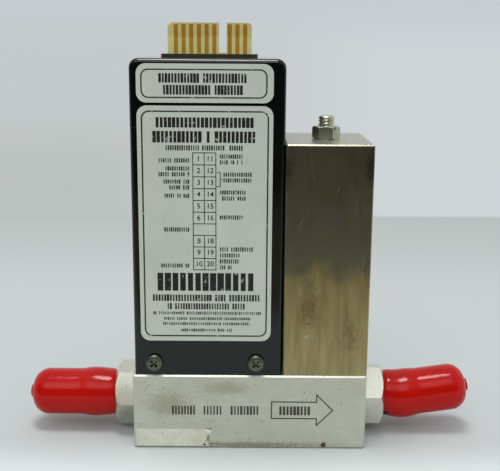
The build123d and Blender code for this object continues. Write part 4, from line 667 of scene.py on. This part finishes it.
def frameTree():
    # a rounded rectangle drawn with a flat line: the border of a label
    tree, given, result = newGeometryTree("roundFrame", [
        ("Width", "Float"), ("Height", "Float"), ("Corner", "Float"), ("Line", "Float"),
        ("Thickness", "Float"), ("Place", "Vector"), ("Ink", "Material")])
    outline = {"Width": given["Width"], "Height": given["Height"]}
    path = put(tree, "GeometryNodeCurvePrimitiveQuadrilateral", outline).outputs[0]
    corners = {"Curve": path, "Radius": given["Corner"], "Count": 8, "Limit Radius": True}
    rounded = put(tree, "GeometryNodeFilletCurve", corners, mode="POLY").outputs[0]
    strip = {"Width": given["Line"], "Height": given["Thickness"]}
    section = put(tree, "GeometryNodeCurvePrimitiveQuadrilateral", strip).outputs[0]
    line = put(tree, "GeometryNodeCurveToMesh", {"Curve": rounded, "Profile Curve": section}).outputs[0]
    upright = {"Geometry": line, "Translation": given["Place"], "Rotation": (math.pi / 2, 0.0, 0.0)}
    closeTree(tree, put(tree, "GeometryNodeTransform", upright).outputs[0], given["Ink"], result[0])
    return tree


strokeRow = strokeTree()
rungs = rungTree()
roundFrame = frameTree()

ink = {"black": paint(16, 16, 17), "grey": paint(30, 30, 30), "label": foil["plain"], "front": -18.775,
       "thickness": 0.05, "seed": 5, "seedStep": 3, "rubFrom": 0.93, "rubDepth": 0.45}


def inkLayer(tree, colour, rough):
    # the print is rubbed through to the foil here and there
    rubbed = effect(tree, "grain", {"Scale": (520.0, 520.0, 620.0), "Contrast": 3.5, "Detail": 5.0})
    through = remap(tree, rubbed, ink["rubFrom"], 1.0, 0.0, ink["rubDepth"])
    return mixColour(tree, through, colour, ink["label"]), rough


printInk = makeFinish("labelInk", {
    "colour": ink["black"], "tone": ink["grey"], "rough": 0.45, "grain": (2400.0,) * 3, "bump": 0.05,
    "scratch": {"Scale": (75.0, 75.0, 95.0), "Width": 0.0045, "Share": 0.5}, "scratchColour": foil["plain"],
    "scratchDepth": 0.28}, inkLayer)

# strokes of a printed row: thinnest and widest share of the pitch, and the lowest share of the height
rowStyles = {
    "title": (0.55, 0.9, 1.0), "heading": (0.6, 0.92, 1.0), "subtitle": (0.4, 0.75, 0.9),
    "small": (0.4, 0.75, 0.85), "banner": (0.66, 0.93, 1.0), "strong": (0.5, 0.88, 0.95),
    "even": (0.4, 0.78, 0.95), "fine": (0.35, 0.75, 0.7), "faint": (0.35, 0.75, 0.6)}
# a printed row: left and right end, bottom and top in mm, strokes, style, share left out as spaces
labelRows = [
    (-28.35, -1.51, 119.2, 122.0, 28, "title", 0.1), (-27.05, -2.7, 115.65, 118.5, 25, "title", 0.08),
    (-29.48, 0.71, 105.7, 108.8, 24, "heading", 0.1), (-30.47, 1.35, 101.1, 104.6, 25, "heading", 0.05),
    (-26.54, -2.61, 98.7, 100.3, 34, "subtitle", 0.08), (-28.75, -19.05, 94.9, 96.3, 14, "small", 0.12),
    (-26.63, -19.07, 92.4, 93.8, 11, "small", 0.06), (-28.82, -19.09, 90.6, 92.0, 14, "small", 0.06),
    (-27.31, -19.1, 88.3, 89.7, 12, "small", 0.06), (-25.47, -19.12, 86.5, 87.9, 9, "small", 0.06),
    (-27.06, -19.14, 83.9, 85.3, 12, "small", 0.1), (-27.21, -19.22, 73.1, 74.6, 12, "small", 0.06),
    (-28.33, -19.32, 61.5, 62.9, 13, "small", 0.06), (-9.82, -2.59, 96.2, 97.6, 11, "small", 0.1),
    (-9.82, -2.58, 94.4, 95.8, 11, "small", 0.1), (-8.74, 0.22, 90.6, 92.0, 13, "small", 0.06),
    (-8.74, 0.23, 88.8, 90.2, 13, "small", 0.06), (-9.82, -1.6, 85.0, 86.4, 12, "small", 0.06),
    (-9.82, -1.59, 83.1, 84.5, 12, "small", 0.12), (-9.83, -2.49, 77.1, 78.5, 11, "small", 0.06),
    (-9.83, 0.72, 66.8, 68.3, 15, "small", 0.05), (-9.83, -3.37, 64.9, 66.3, 9, "small", 0.05),
    (-9.83, -3.67, 62.9, 64.4, 9, "small", 0.05), (-9.83, -5.88, 60.95, 62.4, 6, "small", 0.05),
    (-29.78, 1.28, 53.95, 59.8, 13, "banner", 0.0), (-31.2, 3.08, 50.5, 52.7, 38, "strong", 0.08),
    (-26.61, -1.69, 47.8, 49.8, 30, "even", 0.1), (-31.13, 3.44, 45.95, 47.1, 58, "faint", 0.12),
    (-27.63, 0.26, 44.15, 45.2, 48, "fine", 0.08), (-27.98, -0.05, 42.45, 43.5, 48, "fine", 0.08),
    (-22.22, -5.82, 40.25, 41.4, 28, "faint", 0.1)]
table = {"left": -18.05, "middle": -14.53, "right": -10.95, "top": 97.98, "bottom": 60.86, "rows": 10,
         "line": 0.26, "gapTop": 75.72, "gapBottom": 72.0, "keyed": 6, "digit": 2.3, "heavier": 0.03,
         "fontSteps": 3}
borders = [(-33.54, 4.51, 114.76, 123.14, 2.1, 0.42), (-33.6, 5.1, 38.9, 110.6, 2.2, 0.45)]
bracket = {"line": 0.24, "paths": [[(-10.75, 91.9), (-9.6, 91.9), (-9.6, 87.5), (-10.75, 87.5)],
                                   [(-9.6, 89.7), (-8.9, 89.7)]]}


def strokes(left, right, bottom, top, count, thin, wide, lowest, spaces, seed, front, thickness, material):
    pitch = (right - left) / count
    values = {"Start": [(left + pitch / 2) * mm, (front + thickness / 2) * mm, (bottom + top) / 2 * mm],
              "Pitch": pitch * mm, "Count": count, "Height": (top - bottom) * mm,
              "Thickness": thickness * mm, "Thin": thin, "Wide": wide, "Lowest": lowest,
              "Spaces": spaces, "Seed": seed, "Ink": material}
    return runTree(strokeRow, values)


def numberMesh(text, x, z, size, front, thickness):
    # a plain number in Blender's own font, stood up and centred on x, z
    curve = bpy.data.curves.new("number", "FONT")
    curve.body = text
    curve.size = size * mm
    curve.align_x = "CENTER"
    curve.align_y = "CENTER"
    curve.extrude = thickness / 2 * mm
    curve.offset = table["heavier"] * mm
    curve.resolution_u = table["fontSteps"]
    mesh = plainMesh(setOut("number", curve))
    place = Matrix.Translation((x * mm, (front + thickness / 2) * mm, z * mm))
    mesh.transform(place @ Matrix.Rotation(math.pi / 2, 4, "X"))
    return mesh


def ribbonMesh(paths, width, front, thickness, closed=False):
    # flat strips along lines in the x-z plane, mitred at their corners, a sharp one only so far
    mitreLeast = 0.35
    shape = bmesh.new()
    for path in paths:
        count = len(path)
        rings = []
        for i, point in enumerate(path):
            here = Vector(point)
            normals = []
            if closed or i > 0:
                run = (here - Vector(path[i - 1])).normalized()
                normals.append(Vector((-run.y, run.x)))
            if closed or i < count - 1:
                run = (Vector(path[(i + 1) % count]) - here).normalized()
                normals.append(Vector((-run.y, run.x)))
            middle = sum(normals, Vector((0, 0))).normalized()
            half = middle * (width / 2 / max(mitreLeast, middle.dot(normals[0])))
            back = front + thickness
            corners = [(here + half, front), (here - half, front), (here - half, back), (here + half, back)]
            rings.append([shape.verts.new((p.x * mm, y * mm, p.y * mm)) for p, y in corners])
        pairs = list(zip(rings, rings[1:])) + ([(rings[-1], rings[0])] if closed else [])
        for a, b in pairs:
            for k in range(4):
                shape.faces.new((a[k], a[(k + 1) % 4], b[(k + 1) % 4], b[k]))
        if not closed:
            shape.faces.new(rings[0])
            shape.faces.new(list(reversed(rings[-1])))
    return closeShape(shape, "ribbon")


def makeLabelPrint():
    front, thick = ink["front"], ink["thickness"]
    parts = []
    for i, (left, right, bottom, top, count, style, spaces) in enumerate(labelRows):
        seed = i * ink["seedStep"] + ink["seed"]
        ends = (left, right, bottom, top)
        parts.append(strokes(*ends, count, *rowStyles[style], spaces, seed, front, thick, printInk))
    pitch = (table["top"] - table["bottom"]) / table["rows"]
    wide = table["right"] - table["left"]
    y = (front + thick / 2) * mm
    parts.append(runTree(rungs, {
        "Start": [(table["left"] + wide / 2) * mm, y, table["bottom"] * mm], "Step": [0.0, 0.0, pitch * mm],
        "Size": [(wide + table["line"]) * mm, thick * mm, table["line"] * mm], "Count": table["rows"] + 1,
        "Ink": printInk}))
    tall = table["top"] - table["bottom"]
    parts.append(runTree(rungs, {
        "Start": [table["left"] * mm, y, (table["bottom"] + tall / 2) * mm],
        "Step": [wide * mm, 0.0, 0.0], "Count": 2,
        "Size": [table["line"] * mm, thick * mm, tall * mm], "Ink": printInk}))
    for low, high in ((table["bottom"], table["gapBottom"]), (table["gapTop"], table["top"])):
        rule = [(table["middle"], low), (table["middle"], high)]
        parts.append(ribbonMesh([rule], table["line"], front, thick))
    for row in range(table["rows"]):
        if row == table["keyed"]:      # the keyed place has no number
            continue
        z = table["top"] - (row + 0.5) * pitch
        for number, side in ((row + 1, table["left"]), (row + 1 + table["rows"], table["right"])):
            x = (side + table["middle"]) / 2
            parts.append(numberMesh(str(number), x, z, table["digit"], front, thick))
    for left, right, bottom, top, corner, line in borders:
        parts.append(runTree(roundFrame, {
            "Width": (right - left) * mm, "Height": (top - bottom) * mm, "Corner": corner * mm,
            "Line": line * mm, "Thickness": thick * mm, "Ink": printInk,
            "Place": [(left + right) / 2 * mm, y, (bottom + top) / 2 * mm]}))
    parts.append(ribbonMesh(bracket["paths"], bracket["line"], front, thick))
    return addPiece("labelPrint", joinMeshes("labelPrint", parts), printInk)


makeLabelPrint()
print("label print made")

basePrint = {"front": -19.07, "thickness": 0.04, "line": 0.4, "ink": paint(54, 54, 42),
             "arrow": [(7.2, 16.4), (22.0, 16.4), (21.95, 18.9), (27.3, 13.55), (22.05, 8.3),
                       (22.0, 10.6), (7.2, 10.6)],
             "rows": [(-25.6, -17.7, 11.8, 14.9, 8, 0.45, 0.75, 1.0, 0.0),
                      (-15.3, -9.0, 11.8, 14.9, 6, 0.4, 0.7, 1.0, 0.0),
                      (-6.4, 3.1, 11.8, 14.9, 9, 0.45, 0.75, 1.0, 0.0),
                      (9.6, 20.0, 11.8, 14.9, 9, 0.55, 0.82, 1.0, 0.0)],
             "seed": 60, "seedStep": 5}


def makeBasePrint():
    material = makeFinish("etchedMark", {
        "colour": basePrint["ink"], "tone": paint(70, 70, 56), "rough": 0.55, "grain": (2600.0,) * 3,
        "bump": 0.2})
    front, thick = basePrint["front"], basePrint["thickness"]
    parts = [ribbonMesh([basePrint["arrow"]], basePrint["line"], front, thick, closed=True)]
    for i, row in enumerate(basePrint["rows"]):
        seed = i * basePrint["seedStep"] + basePrint["seed"]
        parts.append(strokes(*row, seed, front, thick, material))
    return addPiece("baseMarks", joinMeshes("baseMarks", parts), material)


makeBasePrint()

sticker = {"left": -37.2, "right": -12.4, "bottom": 0.75, "top": 6.7, "back": -19.05, "thickness": 0.15,
           "columns": 90, "rows": 22, "seed": 12, "corner": 0.5, "jagged": 0.35, "wave": 0.5, "waves": 5.0,
           "footCut": 2.2, "footShare": 0.25, "lift": 0.85, "liftFrom": -15.2, "liftLength": 2.8,
           "liftShare": 0.38, "liftCurve": 1.4, "paper": 0.14}


def makeSticker():
    # a paper sticker with a ragged right end, its upper corner torn and standing off the steel
    random.seed(sticker["seed"])
    torn = [random.uniform(-sticker["jagged"], sticker["jagged"]) for _ in range(sticker["rows"] + 1)]
    shape = bmesh.new()
    grid = []
    for j in range(sticker["rows"] + 1):
        v = j / sticker["rows"]
        z = sticker["bottom"] + v * (sticker["top"] - sticker["bottom"])
        corner = max(0.0, sticker["corner"] - z + sticker["bottom"], sticker["corner"] - sticker["top"] + z)
        bend = math.sqrt(max(0.0, sticker["corner"] ** 2 - corner ** 2))
        left = sticker["left"] + sticker["corner"] - bend
        wave = sticker["wave"] * math.sin(v * sticker["waves"])
        right = sticker["right"] - sticker["corner"] - wave + torn[j]
        right -= sticker["footCut"] * max(0.0, sticker["footShare"] - v)
        line = []
        for i in range(sticker["columns"] + 1):
            u = i / sticker["columns"]
            x = left + u * (right - left)
            off = max(0.0, (x - sticker["liftFrom"]) / sticker["liftLength"])
            off *= max(0.0, (v - 1 + sticker["liftShare"]) / sticker["liftShare"])
            y = sticker["back"] - sticker["thickness"] - sticker["lift"] * off ** sticker["liftCurve"]
            line.append(shape.verts.new((x * mm, y * mm, z * mm)))
        grid.append(line)
    for low, high in zip(grid, grid[1:]):
        for i in range(sticker["columns"]):
            shape.faces.new((low[i], low[i + 1], high[i + 1], high[i]))
    sheet = setOut("paperSheet", closeShape(shape, "paperSheet", outward=False))
    thick = sheet.modifiers.new("paper", "SOLIDIFY")
    thick.thickness = sticker["paper"] * mm
    thick.offset = -1.0
    return addPiece("paperSticker", plainMesh(sheet), finishes["sticker_paper"],
                    stands=["serial_sticker"])


makeSticker()
print("base marks and sticker made")

lens = {"spot": (-0.594, -283.413, 130.672), "down": 12.4815, "left": -0.0724, "roll": 0.4217,
        "pixels": 864.0, "wide": 500.0, "sensor": 36.0, "nearest": 0.01, "furthest": 50.0}


def makeCamera():
    down, left, roll = (math.radians(lens[k]) for k in ("down", "left", "roll"))
    forward = Vector((-math.sin(left) * math.cos(down), math.cos(left) * math.cos(down), -math.sin(down)))
    level = Vector((math.cos(left), math.sin(left), 0.0))
    upright = level.cross(forward)
    right = level * math.cos(roll) + upright * math.sin(roll)
    up = upright * math.cos(roll) - level * math.sin(roll)
    data = bpy.data.cameras.new("camera")
    data.sensor_width = lens["sensor"]
    data.lens = lens["pixels"] / lens["wide"] * data.sensor_width
    data.clip_start = lens["nearest"]
    data.clip_end = lens["furthest"]
    camera = setOut("camera", data)
    turned = Matrix((right, up, -forward)).transposed().to_4x4()
    camera.matrix_world = Matrix.Translation(Vector(lens["spot"]) * mm) @ turned
    bpy.context.scene.camera = camera


makeCamera()

# tones of the paper and the backdrop, graded as painted light and shade: the paper lighter at the front and
# darker in its crease, the backdrop darker low on the left; a pair of ends says where one passes into the
# next, on the floor in metres from the object and around it as a part of the direction
room = {"reach": 6.0, "front": paint(224, 233, 233), "near": paint(191, 198, 198),
        "far": paint(182, 189, 188), "crease": paint(180, 187, 186), "creaseAt": 0.374,
        "backdrop": paint(196, 202, 202), "left": paint(187, 193, 190), "right": paint(206, 212, 215),
        "high": paint(197, 205, 211), "studio": (0.6, 0.62, 0.62, 1.0), "dim": (0.03, 0.029, 0.019, 1.0),
        "warm": (0.26, 0.23, 0.14, 1.0), "fill": (0.7, 0.71, 0.71, 1.0), "leftDark": 0.28,
        "frontEnds": (-0.05, -0.01), "farEnds": (0.14, 0.33), "creaseSoft": 0.03, "paperEnds": (0.5, 1.0),
        "paperEdge": 0.012, "warmEnds": (-0.13, -0.2), "dimEnds": (-0.3, -0.6), "rightEnds": (-0.06, 0.18),
        "leftEnds": (0.0, -0.2), "lowEnds": (-0.06, -0.14), "highEnds": (-0.02, 0.06),
        "beforeEnds": (-0.1, -0.6), "aboveEnds": (0.75, 0.35), "aim": (0, 0, 0.05), "paperRough": 0.85,
        "paperGloss": 0.1, "key": {"power": 5.6, "at": (-0.06, -0.06, 1.2), "size": (0.42, 0.26)},
        "soft": {"power": 5.0, "at": (-0.3, -1.3, 1.5), "size": (1.2, 1.0)}}


def makeFloor():
    half = room["reach"]
    mesh = bpy.data.meshes.new("floor")
    mesh.from_pydata([(-half, -half, 0), (half, -half, 0), (half, half, 0), (-half, half, 0)], [],
                     [(0, 1, 2, 3)])
    setOut("floor", mesh)
    material = bpy.data.materials.new("palePaper")
    material.use_nodes = True
    tree = material.node_tree
    shader = tree.nodes["Principled BSDF"]
    place = objectPlace(tree)
    deep = axes(tree, place)[1]
    # painted light: the paper is lighter at the front and darker further back
    shown = mixColour(tree, fade(tree, deep, room["frontEnds"]), room["front"], room["near"])
    shown = mixColour(tree, fade(tree, deep, room["farEnds"]), shown, room["far"])
    # painted shade along the crease of the paper
    crease = remap(tree, deep, room["creaseAt"] - room["creaseSoft"], room["creaseAt"], smooth=True)
    shown = mixColour(tree, crease, shown, room["crease"])
    mirrored = mixColour(tree, fade(tree, deep, room["warmEnds"]), room["near"], room["warm"])
    mirrored = mixColour(tree, fade(tree, deep, room["dimEnds"]), mirrored, room["dim"])
    rays = put(tree, "ShaderNodeLightPath").outputs
    tree.links.new(mixColour(tree, rays["Is Glossy Ray"], shown, mirrored), shader.inputs["Base Color"])
    shader.inputs["Roughness"].default_value = room["paperRough"]
    shader.inputs["Specular IOR Level"].default_value = room["paperGloss"]
    # for the camera the paper ends at its crease and, further out, melts into the backdrop
    beyond = remap(tree, deep, room["creaseAt"], room["creaseAt"] + room["paperEdge"], smooth=True)
    reach = vectorCalc(tree, "LENGTH", place)["Value"]
    gone = calc(tree, "MAXIMUM", beyond, fade(tree, reach, room["paperEnds"]))
    clear = put(tree, "ShaderNodeBsdfTransparent").outputs[0]
    seen = calc(tree, "MULTIPLY", gone, rays["Is Camera Ray"])
    both = put(tree, "ShaderNodeMixShader", {0: seen, 1: shader.outputs[0], 2: clear}).outputs[0]
    tree.links.new(both, tree.nodes["Material Output"].inputs["Surface"])
    mesh.materials.append(material)


def makeWorld():
    world = bpy.data.worlds.new("studio")
    bpy.context.scene.world = world
    world.use_nodes = True
    tree = world.node_tree
    sky = tree.nodes["Background"]
    way = axes(tree, put(tree, "ShaderNodeTexCoord").outputs["Generated"])
    rays = put(tree, "ShaderNodeLightPath").outputs
    # painted light and shade on the backdrop: lighter to the right and high up, darker low on the left
    backdrop = mixColour(tree, fade(tree, way[0], room["rightEnds"]), room["backdrop"], room["right"])
    shade = calc(tree, "MULTIPLY", fade(tree, way[0], room["leftEnds"]),
                 fade(tree, way[2], room["lowEnds"]))
    backdrop = mixColour(tree, shade, backdrop, room["left"])
    backdrop = mixColour(tree, fade(tree, way[2], room["highEnds"]), backdrop, room["high"])
    turned = calc(tree, "MULTIPLY_ADD", way[0], room["leftDark"], way[1])
    toFront = fade(tree, turned, room["beforeEnds"])
    notHigh = fade(tree, way[2], room["aboveEnds"])
    mirrored = mixColour(tree, calc(tree, "MULTIPLY", toFront, notHigh), room["studio"], room["dim"])
    lit = mixColour(tree, rays["Is Glossy Ray"], room["fill"], mirrored)
    tree.links.new(mixColour(tree, rays["Is Camera Ray"], lit, backdrop), sky.inputs["Color"])


def makeLamps():
    for name in ("key", "soft"):
        lamp = room[name]
        data = bpy.data.lights.new(name, "AREA")
        data.shape = "RECTANGLE"
        data.size, data.size_y = lamp["size"]
        data.energy = lamp["power"]
        light = setOut(name, data)
        light.location = lamp["at"]
        light.rotation_euler = (Vector(room["aim"]) - light.location).to_track_quat("-Z", "Y").to_euler()


makeFloor()
makeWorld()
makeLamps()
bpy.context.scene.view_settings.view_transform = "Standard"
print("camera, floor and lights set")
